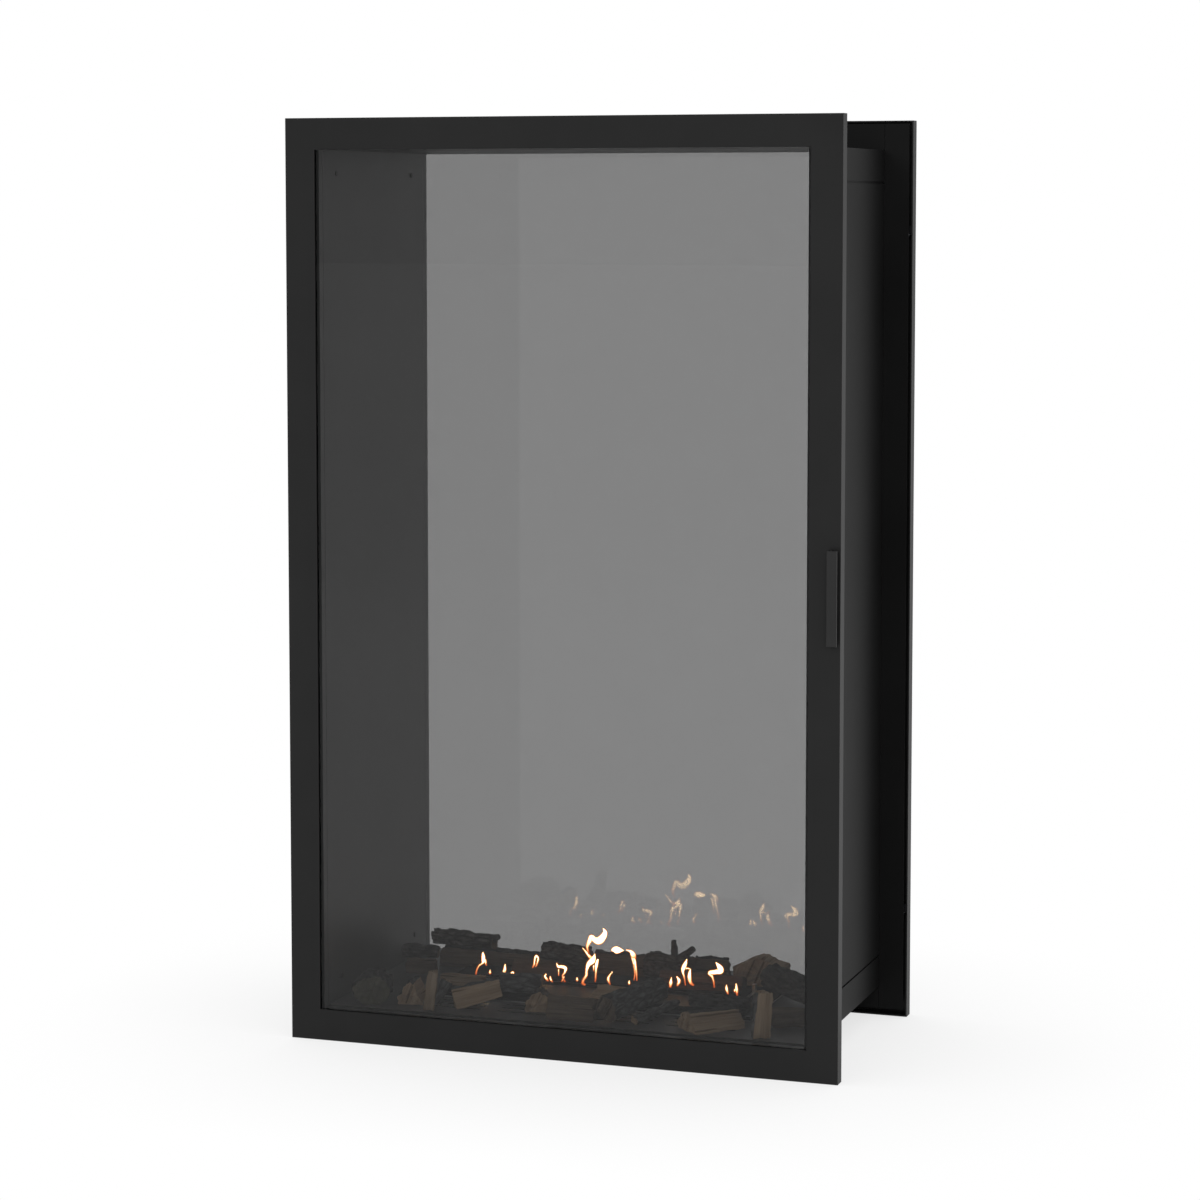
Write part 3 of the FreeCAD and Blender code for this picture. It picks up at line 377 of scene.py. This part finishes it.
def plated(name, colour, rough, stretch):
    """Plated or bare metal with drawn lines along its length."""
    m = Finish(name)
    lines = m.noise(m.place(stretch), scale=60, detail=5)
    cloud = m.noise(m.place(), scale=30, detail=3)
    dark = tuple(c * 0.8 for c in colour)
    m.set(Base_Color=m.ramp(cloud, ((NOISE_LOW, dark), (NOISE_HIGH, colour))), Metallic=1.0)
    m.set(Roughness=m.span(lines, rough - 0.08, rough + 0.1))
    m.set(Normal=m.bump(lines, strength=0.15, distance=FINE_BUMP))
    return m.material


def fibrous(name, dark, light, scale, depth):
    """Felted fibres: board, wool and tape."""
    m = Finish(name)
    fibres = m.noise(m.place((1, 1, 2.5)), scale, detail=6, rough=0.7)
    m.set(Base_Color=m.ramp(fibres, ((0.32, dark), (0.68, light))), Roughness=0.95)
    m.set(Specular_IOR_Level=0.1)
    m.set(Normal=m.bump(fibres, strength=0.7, distance=depth))
    return m.material


def ferrite():
    """Dark sintered magnet with fine bright specks."""
    m = Finish("ferrite")
    specks = m.noise(m.place(), scale=900, detail=4, rough=0.8)
    m.set(Base_Color=m.ramp(specks, ((0.45, grey(0.03)), (0.62, grey(0.06)), (0.72, grey(0.16)))))
    m.set(Roughness=0.5)
    m.set(Normal=m.bump(specks, strength=0.2, distance=FINE_BUMP))
    return m.material


def tinted_glass(name, tint, ior):
    """Grey tinted flat glass."""
    m = Finish(name)
    m.set(Base_Color=(*grey(tint), 1), Transmission_Weight=1.0, Roughness=0.0, IOR=ior)
    return m.material


def bark(name, dark, mid, light, coarse):
    """Furrowed bark: ridges that run along the log, pale lichen-like flecks, and painted shade that darkens
    the cracks between the plates.
    """
    m = Finish(name)
    grain = m.grain()
    ridges = m.noise(m.place((26, 95, 1), grain), coarse, detail=7, rough=0.68)
    crust = m.noise(m.place((110, 160, 1), grain), scale=2.2, detail=6, rough=0.7)
    plates = {"Vector": m.place((34, 80, 1), grain), "Scale": 1.5}
    cracks = m.add("TexVoronoi", plates, feature="DISTANCE_TO_EDGE")
    gap = m.span(cracks.outputs["Distance"], low=0.35, high=1.25)
    # Crack edges multiply into the height, so the colour is darkest in the cracks: painted shade, besides the
    # sunken relief
    height = m.math("MULTIPLY", m.mix(ridges, crust, share=0.45), gap)
    m.set(Base_Color=m.ramp(height, ((0.14, dark), (0.36, mid), (0.62, light))), Roughness=0.9)
    m.set(Specular_IOR_Level=0.2)
    m.set(Normal=m.bump(height, strength=0.9, distance=0.0016))
    return m.material


def split_wood(name, dark, mid, light):
    """Split wood: fibres along the log, broader bands of tone, and checks darkened with painted shade."""
    m = Finish(name)
    grain = m.grain()
    fibres = m.noise(m.place((14, 620, 1), grain), scale=1.0, detail=8, rough=0.66)
    bands = m.noise(m.place((9, 85, 1), grain), scale=1.0, detail=4, rough=0.5)
    cracks = m.noise(m.place((7, 210, 1), grain), scale=1.0, detail=2, rough=0.4)
    checks_and_shade = m.add("MapRange", {"Value": cracks, "From Min": 0.28, "From Max": 0.36}).outputs["Result"]
    # The checks sink the relief and darken the colour: painted shade in the cracks
    height = m.math("MULTIPLY", m.mix(fibres, bands, share=0.45), checks_and_shade)
    m.set(Base_Color=m.ramp(height, ((0.2, dark), (0.46, mid), (0.66, light))), Roughness=0.8)
    m.set(Specular_IOR_Level=0.25)
    m.set(Normal=m.bump(height, strength=0.55, distance=0.0006))
    return m.material


def flame_glow(name, low, high, strength, alpha):
    """Fire: colour and strength change from the foot of a strand to its top."""
    m = Finish(name)
    rise = m.add("Attribute", attribute_name="rise").outputs["Fac"]
    lick = m.noise(m.place((1, 1, 0.4)), scale=160, detail=3)
    mixed = m.math("ADD", rise, m.span(lick, low=-0.25, high=0.25))
    m.set(Base_Color=(0, 0, 0, 1), Roughness=1.0, Specular_IOR_Level=0.0, Alpha=alpha)
    m.set(Emission_Color=m.ramp(mixed, ((0.05, low), (0.5, high))))
    m.set(Emission_Strength=m.span(mixed, *strength))
    return m.material


STEEL = powder_coat("black_powder_coat", tone=0.013, rough=0.42, level=0.055, grit=0.1)
DOOR = powder_coat("satin_black_door", tone=0.017, rough=0.42, level=0.2, grit=0.06)
# Hearth coat: the black coat made about eight times lighter, painted light where light falls on the fire box
# floor
HEARTH_PAINTED_LIGHT = powder_coat("black_hearth_painted_light", tone=0.11, rough=0.42, level=0.3, grit=0.03)
# Inner coat: the black steel coat made lighter, painted light on the inner walls and on the glass retainers
# that lie in shade
PAINTED_LIGHT_COAT = powder_coat("black_coat_painted_light", tone=0.072, rough=0.36, level=0.4, grit=0.03)
# Pull coat: the door's coat made lighter, a painted sheen for the smoother face of the pulls
PULL_PAINTED_SHEEN = powder_coat("satin_black_pull_painted_sheen", tone=0.03, rough=0.42, level=0.2, grit=0.05)
FIXING = powder_coat("black_oxide", tone=0.03, rough=0.35, level=0.4, grit=0.1)
ZINC = plated("zinc_plate", (0.5, 0.51, 0.53), rough=0.38, stretch=(3, 3, 40))
BLACK_ZINC = plated("black_zinc", (0.05, 0.05, 0.055), rough=0.42, stretch=(3, 3, 40))
STAINLESS = plated("brushed_stainless", (0.52, 0.52, 0.51), rough=0.34, stretch=(2, 60, 60))
BOARD = fibrous("fibre_board", grey(0.5, 0.04), grey(0.72, 0.03), scale=300, depth=0.0008)
WOOL = fibrous("ceramic_wool", grey(0.6, 0.02), grey(0.85, 0.02), scale=240, depth=0.003)
TAPE = fibrous("glass_tape", grey(0.02), grey(0.06), scale=900, depth=0.0005)
FERRITE = ferrite()
FRONT_GLASS = tinted_glass("grey_glass_front", tint=0.475, ior=1.345)
REAR_GLASS = tinted_glass("grey_glass_rear", tint=0.444, ior=1.62)
WOODS = {
    "bark_dark": bark("bark_dark", grey(0.03, 0.05), grey(0.1, 0.05), grey(0.25, 0.05), 1.0),
    "bark_grey": bark("bark_grey", grey(0.05, 0.02), grey(0.2, 0.0), grey(0.46, 0.0), 1.1),
    "bark_flaky": bark("bark_flaky", grey(0.035, 0.09), grey(0.14, 0.08), grey(0.36, 0.07), 0.8),
    "wood_tan": split_wood("wood_tan", (0.2, 0.135, 0.085), (0.45, 0.32, 0.205), (0.66, 0.5, 0.34)),
    "wood_worn": split_wood("wood_worn", (0.15, 0.105, 0.068), (0.33, 0.245, 0.165), (0.5, 0.39, 0.28)),
    "wood_brown": split_wood("wood_brown", (0.058, 0.042, 0.031), (0.135, 0.099, 0.072),
                             (0.22, 0.167, 0.123)),
    "wood_red": split_wood("wood_red", (0.055, 0.034, 0.026), (0.13, 0.08, 0.06), (0.2, 0.135, 0.105)),
    "wood_olive": split_wood("wood_olive", (0.08, 0.075, 0.052), (0.1, 0.095, 0.066), (0.125, 0.12, 0.083)),
}
BY_SLOT = {"black_steel": STEEL, "zinc_steel": ZINC, "dark_fixings": FIXING, "insulation": BOARD,
           "magnet": FERRITE, "stainless": STAINLESS, "wool": WOOL, "gasket": TAPE, "glass": FRONT_GLASS}
# The inner walls and the glass retainers take the lighter coat of painted light
BY_NODE = {"liner_left": PAINTED_LIGHT_COAT, "liner_right": PAINTED_LIGHT_COAT, "front_glass_retainer": PAINTED_LIGHT_COAT,
           "rear_glass_retainer": PAINTED_LIGHT_COAT, "front_door_frame": DOOR,
           "rear_door_frame": DOOR, "front_door_handle": PULL_PAINTED_SHEEN, "rear_door_handle": PULL_PAINTED_SHEEN,
           "rear_door_glass": REAR_GLASS, "hinge_tabs": BLACK_ZINC, "hinge_pins": BLACK_ZINC,
           "front_pivot_blocks": BLACK_ZINC, "rear_pivot_blocks": BLACK_ZINC}


def dress_nodes():
    """Gives every solid that stays in view its finish, and the upward faces of the floor inside the casing a
    second, lighter one: painted light on the hearth.
    """
    slots = {part["node"]: part["material_slot"] for part in frame["record"]["subparts"]}
    for name, thing in SOLIDS.items():
        finish = BY_NODE.get(name) or BY_SLOT.get(slots[name])
        if finish:
            thing.data.materials.clear()
            thing.data.materials.append(finish)
    pan = SOLIDS["casing_floor"]
    pan.data.materials.append(HEARTH_PAINTED_LIGHT)
    # Upward faces inside the hearth get the lighter coat: painted light on the floor of the fire box
    for face in pan.data.polygons:
        place = pan.matrix_world @ face.center / MM
        if abs(place.x) < HEARTH[0] and abs(place.y) < HEARTH[1] and face.normal.z > UPWARD:
            face.material_index = 1


def mesh_object(name, points, faces, mats, face_mats):
    """A smooth mesh object with its materials."""
    mesh = bpy.data.meshes.new(name)
    mesh.from_pydata(points, [], faces)
    for material in mats:
        mesh.materials.append(material)
    mesh.polygons.foreach_set("material_index", face_mats)
    mesh.polygons.foreach_set("use_smooth", [True] * len(faces))
    thing = bpy.data.objects.new(name, mesh)
    bpy.context.collection.objects.link(thing)
    return thing


def tube_wall(start, rows, count):
    """Faces between the rings of a tube, whose points are numbered from start."""
    faces = []
    for ring in range(start, start + rows * count, count):
        for k in range(count):
            a = ring + k
            b = ring + (k + 1) % count
            faces.append((a, b, b + count, a + count))
    return faces


def closed_tube(start, rows, count):
    """Faces of a tube with both ends shut."""
    first = range(start, start + count)
    last = range(start + rows * count, start + (rows + 1) * count)
    return [*tube_wall(start, rows, count), tuple(reversed(first)), tuple(last)]


def spread(section, width, height, step):
    """Points round a section at an even pitch, each with the number of its side and its way round."""
    corners = [Vector((u * width, v * height)) for u, v in section]
    points = []
    way = 0.0
    for side, (a, b) in enumerate(zip(corners, corners[1:] + corners[:1])):
        count = max(2, round((b - a).length / step))
        for k in range(count):
            points.append((a.lerp(b, k / count), side, way + (b - a).length * k / count))
        way += (b - a).length
    return points


def resting_place(name, log):
    """Turn of a log and the place of its middle, with the height read from the corners of its solid."""
    spin = Euler((math.radians(log.roll), math.radians(-log.tilt), math.radians(log.turn)), "XYZ").to_matrix()
    spot = Vector((log.across * HEARTH[0], log.deep * HEARTH[1], 0)) * 0.01
    node = SOLIDS[name if name in LOGS else "kindling"]
    best = None
    for u, v in SECTIONS[log.kind][0]:
        corner = spin @ Vector((-0.5 * log.length, u * log.width, v * log.height)) + spot
        for vertex in node.data.vertices:
            place = node.matrix_world @ vertex.co / MM
            gap = math.hypot(place.x - corner.x, place.y - corner.y)
            if best is None or gap < best[0]:
                best = (gap, place.z - corner.z)
        if best[0] < CORNER_FOUND:
            break
    if best[0] > CORNER_LOST:
        raise RuntimeError(f"{name} isn't where its solid is")
    return spin, spot + Vector((0, 0, best[1]))


class Skin:
    """Surface of a piece of wood: points, their grain, faces and the number of each face's material."""

    def __init__(self):
        self.points = []
        self.grain = []
        self.faces = []
        self.mats = []

    def add_point(self, point, grain):
        """Adds a point and returns its number."""
        self.points.append(point)
        self.grain.append(grain)
        return len(self.points) - 1

    def add_faces(self, faces, mats):
        """Adds faces with the numbers of their materials."""
        self.faces.extend(faces)
        self.mats.extend(mats)

    def add_stub(self, base, tip, wide, seed):
        """Adds a broken twig that stands out of a log."""
        base, tip = Vector(base), Vector(tip)
        along = (tip - base).normalized()
        side = along.orthogonal().normalized()
        other = along.cross(side)
        round_pitch, long_pitch = STUB_PITCH
        start = len(self.points)
        for row in range(STUB_RINGS + 1):
            t = row / STUB_RINGS
            for k in range(STUB_SIDES):
                a = 2 * math.pi * k / STUB_SIDES
                spot = Vector((math.cos(a) * round_pitch, math.sin(a) * round_pitch, t * long_pitch + seed))
                radius = wide * (1 + STUB_UNEVEN * noise.noise(spot)) * (1 - STUB_TAPER * t * t)
                place = base.lerp(tip, t) + (side * math.cos(a) + other * math.sin(a)) * radius
                self.add_point(place * MM, (t * STUB_GRAIN, a * wide * MM, seed))
        faces = closed_tube(start, STUB_RINGS, STUB_SIDES)
        self.add_faces(faces, [0] * len(faces))

    def join(self, other, numbers):
        """Takes in another skin, with new numbers for its materials."""
        first = len(self.points)
        self.points.extend(other.points)
        self.grain.extend(other.grain)
        faces = [tuple(first + i for i in face) for face in other.faces]
        self.add_faces(faces, [numbers[m] for m in other.mats])


class LogSkin(Skin):
    """Skin of one log: furrowed, flaking bark, split faces with shards, and broken ends."""

    def __init__(self, name, log, seed):
        super().__init__()
        self.log = log
        self.seed = seed
        self.shift = Vector([stride * seed for stride in NOISE_STRIDES])
        section, self.wood_sides = SECTIONS[log.kind]
        self.around = spread(section, log.width, log.height, SKIN_STEP)
        self.middle = sum((p for p, _, _ in self.around), Vector((0, 0))) / len(self.around)
        self.rows = max(LEAST_ROWS, round(log.length / SKIN_STEP))
        self.spin, spot = resting_place(name, log)
        self.add_wall()
        self.add_end(0, -1)
        self.add_end(self.rows, 1)
        self.points = [(self.spin @ p + spot) * MM for p in self.points]

    def swell(self, local, side, way):
        """How far the skin stands out of the solid at a point, in millimetres."""
        broad = noise.noise(local * BROAD_PITCH + self.shift)
        warp = WARP * noise.noise(local * WARP_PITCH + self.shift)
        if side in self.wood_sides or self.log.bark.startswith("wood"):
            shard = self.cells(local, way, warp, SHARD_PITCH)
            along, across = FIBRE_PITCH
            fibres = Vector((local.x * along, local.y * across, local.z * across))
            fibre = noise.noise(fibres + self.shift)
            out = WOOD_BROAD * broad + SHARD_DEPTH * shard + FIBRE_DEPTH * fibre - WOOD_SINK
        else:
            along, across = FURROW_PITCH
            line = noise.noise(Vector((local.x * along, way * across, self.seed * FURROW_STRIDE)))
            furrow = 1 - min(1, FURROW_NARROW * abs(line))
            plate = PLATE_RISE[self.log.bark] * self.cells(local, way, warp, PLATE_PITCH)
            out = BARK_BROAD * broad + plate - FURROW_DEPTH * furrow ** FURROW_POWER + BARK_RISE
        return min(MOST_SWELL, out)

    def cells(self, local, way, warp, pitch):
        """Steps between plates or shards."""
        along, across = pitch
        return noise.cell(Vector((local.x * along + warp, way * across + warp, self.seed)))

    def add_wall(self):
        """Adds the rings from one end of the log to the other."""
        length = self.log.length
        for row in range(self.rows + 1):
            along = row / self.rows
            scale = 1 - (1 - LOG_TAPER) * along
            ends = min(along, 1 - along) * length
            bend = BEND * length * math.sin(math.pi * along) * noise.noise(self.shift)
            for flat, side, way in self.around:
                local = Vector(((along - 0.5) * length, flat.x * scale + bend, flat.y * scale))
                outward = Vector((0, flat.x - self.middle.x, flat.y - self.middle.y)).normalized()
                wear = CHIP_WEAR[0] + CHIP_WEAR[1] * noise.noise(local * CHIP_PITCH + self.shift)
                chip = CHIP_DEPTH * max(0, 1 - ends / CHIP_REACH) * wear
                share = UNDERSIDE_SHARE if (self.spin @ outward).z < UNDERSIDE else 1.0
                local += outward * ((self.swell(local, side, way) - chip) * share)
                crack = Vector((way * BREAK_PITCH, self.seed * BREAK_STRIDE, along * BREAK_APART))
                broken = max(-MOST_SWELL, BREAK_DEPTH * noise.noise(crack))
                local.x -= (1 if along > 0.5 else -1) * broken * max(0, 1 - ends / BREAK_REACH)
                self.add_point(local, (local.x * MM, way * MM, self.seed * GRAIN_STRIDE))
        wood = [int(side in self.wood_sides) for _, side, _ in self.around]
        self.add_faces(tube_wall(0, self.rows, len(self.around)), wood * self.rows)

    def add_end(self, row, way):
        """Adds a broken end: rings that close in on the middle from a ring of the wall."""
        count = len(self.around)
        rim = range(row * count, row * count + count)
        ring = list(rim)
        steps = max(LEAST_END_RINGS, round(min(self.log.width, self.log.height) / (2 * SKIN_STEP)))
        faces = []
        for k in range(1, steps + 1):
            share = 1 - k / (steps + END_CLOSING)
            fresh = [self.add_end_point(self.points[index], share, way) for index in rim]
            for index in range(count):
                after = (index + 1) % count
                faces.append((ring[index], ring[after], fresh[after], fresh[index]))
            ring = fresh
        faces.append(tuple(ring))
        self.add_faces([face if way > 0 else face[::-1] for face in faces], [1] * len(faces))

    def add_end_point(self, edge, share, way):
        """Adds a point of a broken end, at a share of the way from the middle to the edge."""
        local = Vector((edge.x, edge.y * share, edge.z * share))
        local += Vector((0, self.middle.x, self.middle.y)) * (1 - share)
        cell = noise.cell(local * END_CELL_PITCH + self.shift)
        rough = noise.noise(local * END_PITCH + self.shift) + END_CELL_SHARE * cell
        local.x -= way * (END_SINK + END_ROUGH * rough) * min(1, END_STEEP * (1 - share))
        slanted = (local.y + END_SLANT * local.z) * MM
        return self.add_point(local, (local.z * MM, slanted, self.seed * GRAIN_STRIDE + 1))


def lay_logs():
    """Builds every log on its solid, and the small pieces as one group."""
    kindling = Skin()
    woods = []
    for seed, (name, log) in enumerate({**LOGS, **KINDLING}.items(), 1):
        skin = LogSkin(name, log, seed)
        pair = (log.bark, log.wood)
        if name in KINDLING:
            for wood in pair:
                if wood not in woods:
                    woods.append(wood)
            kindling.join(skin, [woods.index(wood) for wood in pair])
            continue
        for number, (base, tip, wide) in enumerate(STUBS.get(name, ())):
            skin.add_stub(base, tip, wide, seed + number * STUB_STRIDE)
        finish_log(name + "_skin", name, skin, [WOODS[wood] for wood in pair])
    finish_log("kindling_skin", "kindling", kindling, [WOODS[wood] for wood in woods])


def finish_log(label, node, skin, mats):
    """Turns a skin into a piece that stands for its solid."""
    thing = mesh_object(label, skin.points, skin.faces, mats, skin.mats)
    layer = thing.data.attributes.new("grain", "FLOAT_VECTOR", "POINT")
    layer.data.foreach_set("vector", [c for place in skin.grain for c in place])
    thing.data.set_sharp_from_angle(angle=math.radians(SHARP_ANGLE))
    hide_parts(node)
    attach(thing, "casing")


def smooth_line(strand):
    """Points of a smooth curve through a strand: across, up and half width."""
    line = []
    last = len(strand) - 1
    for k in range(last):
        p0, p1, p2, p3 = (Vector(strand[min(max(k + d, 0), last)]) for d in (-1, 0, 1, 2))
        for step in range(FLAME_STEPS + (k == last - 1)):
            t = step / FLAME_STEPS
            place = 0.5 * ((2 * p1) + (p2 - p0) * t + (2 * p0 - 5 * p1 + 4 * p2 - p3) * t * t
                           + (3 * p1 - p0 - 3 * p2 + p3) * t * t * t)
            line.append((place.x, place.y, max(LEAST_WIDTH, place.z)))
    return line


def flame_strand(store, strand, depth, extra, seed):
    """One lick of flame, flattened front to back, on a gently swaying line."""
    points, faces, rise = store
    low = min(p[1] for p in strand)
    high = max(p[1] for p in strand)
    line = smooth_line(strand)
    start = len(points)
    for row, (x, z, wide) in enumerate(line):
        before, after = line[max(row - 1, 0)], line[min(row + 1, len(line) - 1)]
        way = Vector((after[0] - before[0], 0, after[1] - before[1])).normalized()
        side = Vector((way.z, 0, -way.x))
        sway = depth + FLAME_SWAY * noise.noise(Vector((x * SWAY_PITCH, z * SWAY_PITCH, seed)))
        reach = max(LEAST_REACH, wide + extra)
        for k in range(FLAME_SIDES):
            a = 2 * math.pi * k / FLAME_SIDES
            outward = side * math.cos(a) + Vector((0, FLAME_FLATNESS * math.sin(a), 0))
            points.append((Vector((x, sway, z)) + outward * reach) * MM)
            rise.append((z - low) / max(1, high - low))
    faces.extend(closed_tube(start, len(line) - 1, FLAME_SIDES))


def light_flames():
    """White-hot cores inside a thin orange veil, over the slot of the burner."""
    core = flame_glow("flame_core", (1.0, 0.22, 0.03), (1.0, 0.74, 0.4), strength=(1.0, 24.0), alpha=1.0)
    veil = flame_glow("flame_veil", (1.0, 0.14, 0.015), (1.0, 0.28, 0.04), strength=(1.2, 2.4), alpha=0.5)
    for name, extra, material in (("flame_cores", CORE_EXTRA, core), ("flame_veils", VEIL_EXTRA, veil)):
        points, faces, rise = store = ([], [], [])
        for number, strand in enumerate(FLAMES):
            depth = number * DEPTH_STRIDE % FLAME_DEPTHS - FLAME_DEPTHS // 2
            flame_strand(store, strand, depth, extra, number * SWAY_STRIDE)
        thing = mesh_object(name, points, faces, [material], [0] * len(faces))
        layer = thing.data.attributes.new("rise", "FLOAT", "POINT")
        layer.data.foreach_set("value", rise)
        thing.visible_diffuse = material is veil
        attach(thing, "casing")


def math_node(tree, operation, first, second):
    """A sum in a node tree: a link with a link or a number."""
    node = tree.nodes.new("ShaderNodeMath")
    node.operation = operation
    tree.links.new(first, node.inputs[0])
    if isinstance(second, bpy.types.NodeSocket):
        tree.links.new(second, node.inputs[1])
    else:
        node.inputs[1].default_value = second
    return node.outputs["Value"]


def background_share(tree):
    """One for rays from the camera and through glass, a share for reflections, and nought for light."""
    path = tree.nodes.new("ShaderNodeLightPath")
    total = math_node(tree, "MULTIPLY", path.outputs["Is Glossy Ray"], REFLECTED_SHARE)
    for name in ("Is Camera Ray", "Is Transmission Ray"):
        total = math_node(tree, "MAXIMUM", total, path.outputs[name])
    return total


def surroundings():
    """A white background that gives less light than it shows."""
    scene = bpy.context.scene
    scene.view_settings.view_transform = "Standard"
    world = bpy.data.worlds.new("studio")
    scene.world = world
    world.use_nodes = True
    tree = world.node_tree
    sky = tree.nodes["Background"]
    amount = math_node(tree, "MAXIMUM", background_share(tree), SKY_LIGHT)
    tree.links.new(amount, sky.inputs["Strength"])
    sky.inputs["Color"].default_value = (1, 1, 1, 1)


def pale_floor():
    """A floor as white as the background that keeps a soft shadow under the part."""
    low = cad_box[0].z - FLOOR_CLEARANCE
    corners = [(-FLOOR_SIDE, -FLOOR_SIDE, low), (FLOOR_SIDE, -FLOOR_SIDE, low),
               (FLOOR_SIDE, FLOOR_BACK, low), (-FLOOR_SIDE, FLOOR_BACK, low)]
    floor = mesh_object("floor", corners, [(0, 1, 2, 3)], [], [0])
    m = Finish("pale_floor")
    shade = m.add("AmbientOcclusion", {"Distance": SHADOW_REACH}, samples=8).outputs["AO"]
    glow = m.add("Emission", {"Color": (1, 1, 1, 1), "Strength": m.span(shade, *SHADOW_TONES)})
    m.set(Base_Color=(0.8, 0.8, 0.8, 1), Roughness=0.9, Specular_IOR_Level=0.0)
    mixed = m.add("MixShader", {"Fac": background_share(m.tree)})
    m.put(mixed, 1, m.shader.outputs["BSDF"])
    m.put(mixed, 2, glow.outputs["Emission"])
    m.put(m.output, "Surface", mixed.outputs["Shader"])
    floor.data.materials.append(m.material)


def lamps():
    """Soft lights that show in no reflection and through no glass."""
    for name, (place, aim, size, power) in LAMPS.items():
        lamp = bpy.data.lights.new(name, "AREA")
        lamp.size = size
        lamp.energy = power
        thing = bpy.data.objects.new(name, lamp)
        thing.location = place
        thing.rotation_euler = (Vector(aim) - Vector(place)).to_track_quat("-Z", "Y").to_euler()
        thing.visible_glossy = False
        thing.visible_transmission = False
        bpy.context.collection.objects.link(thing)


def camera():
    """The viewpoint of the photograph: to the right of the front, near the height of the top."""
    lens = bpy.data.cameras.new("camera")
    lens.lens = LENS
    lens.sensor_width = SENSOR
    lens.shift_y = LENS_SHIFT
    thing = bpy.data.objects.new("camera", lens)
    thing.location = EYE
    thing.rotation_euler = (math.radians(90 - LOOKS_DOWN), 0, math.radians(LOOKS_ROUND))
    bpy.context.collection.objects.link(thing)
    bpy.context.scene.camera = thing


dress_nodes()
lay_logs()
light_flames()
surroundings()
pale_floor()
lamps()
camera()
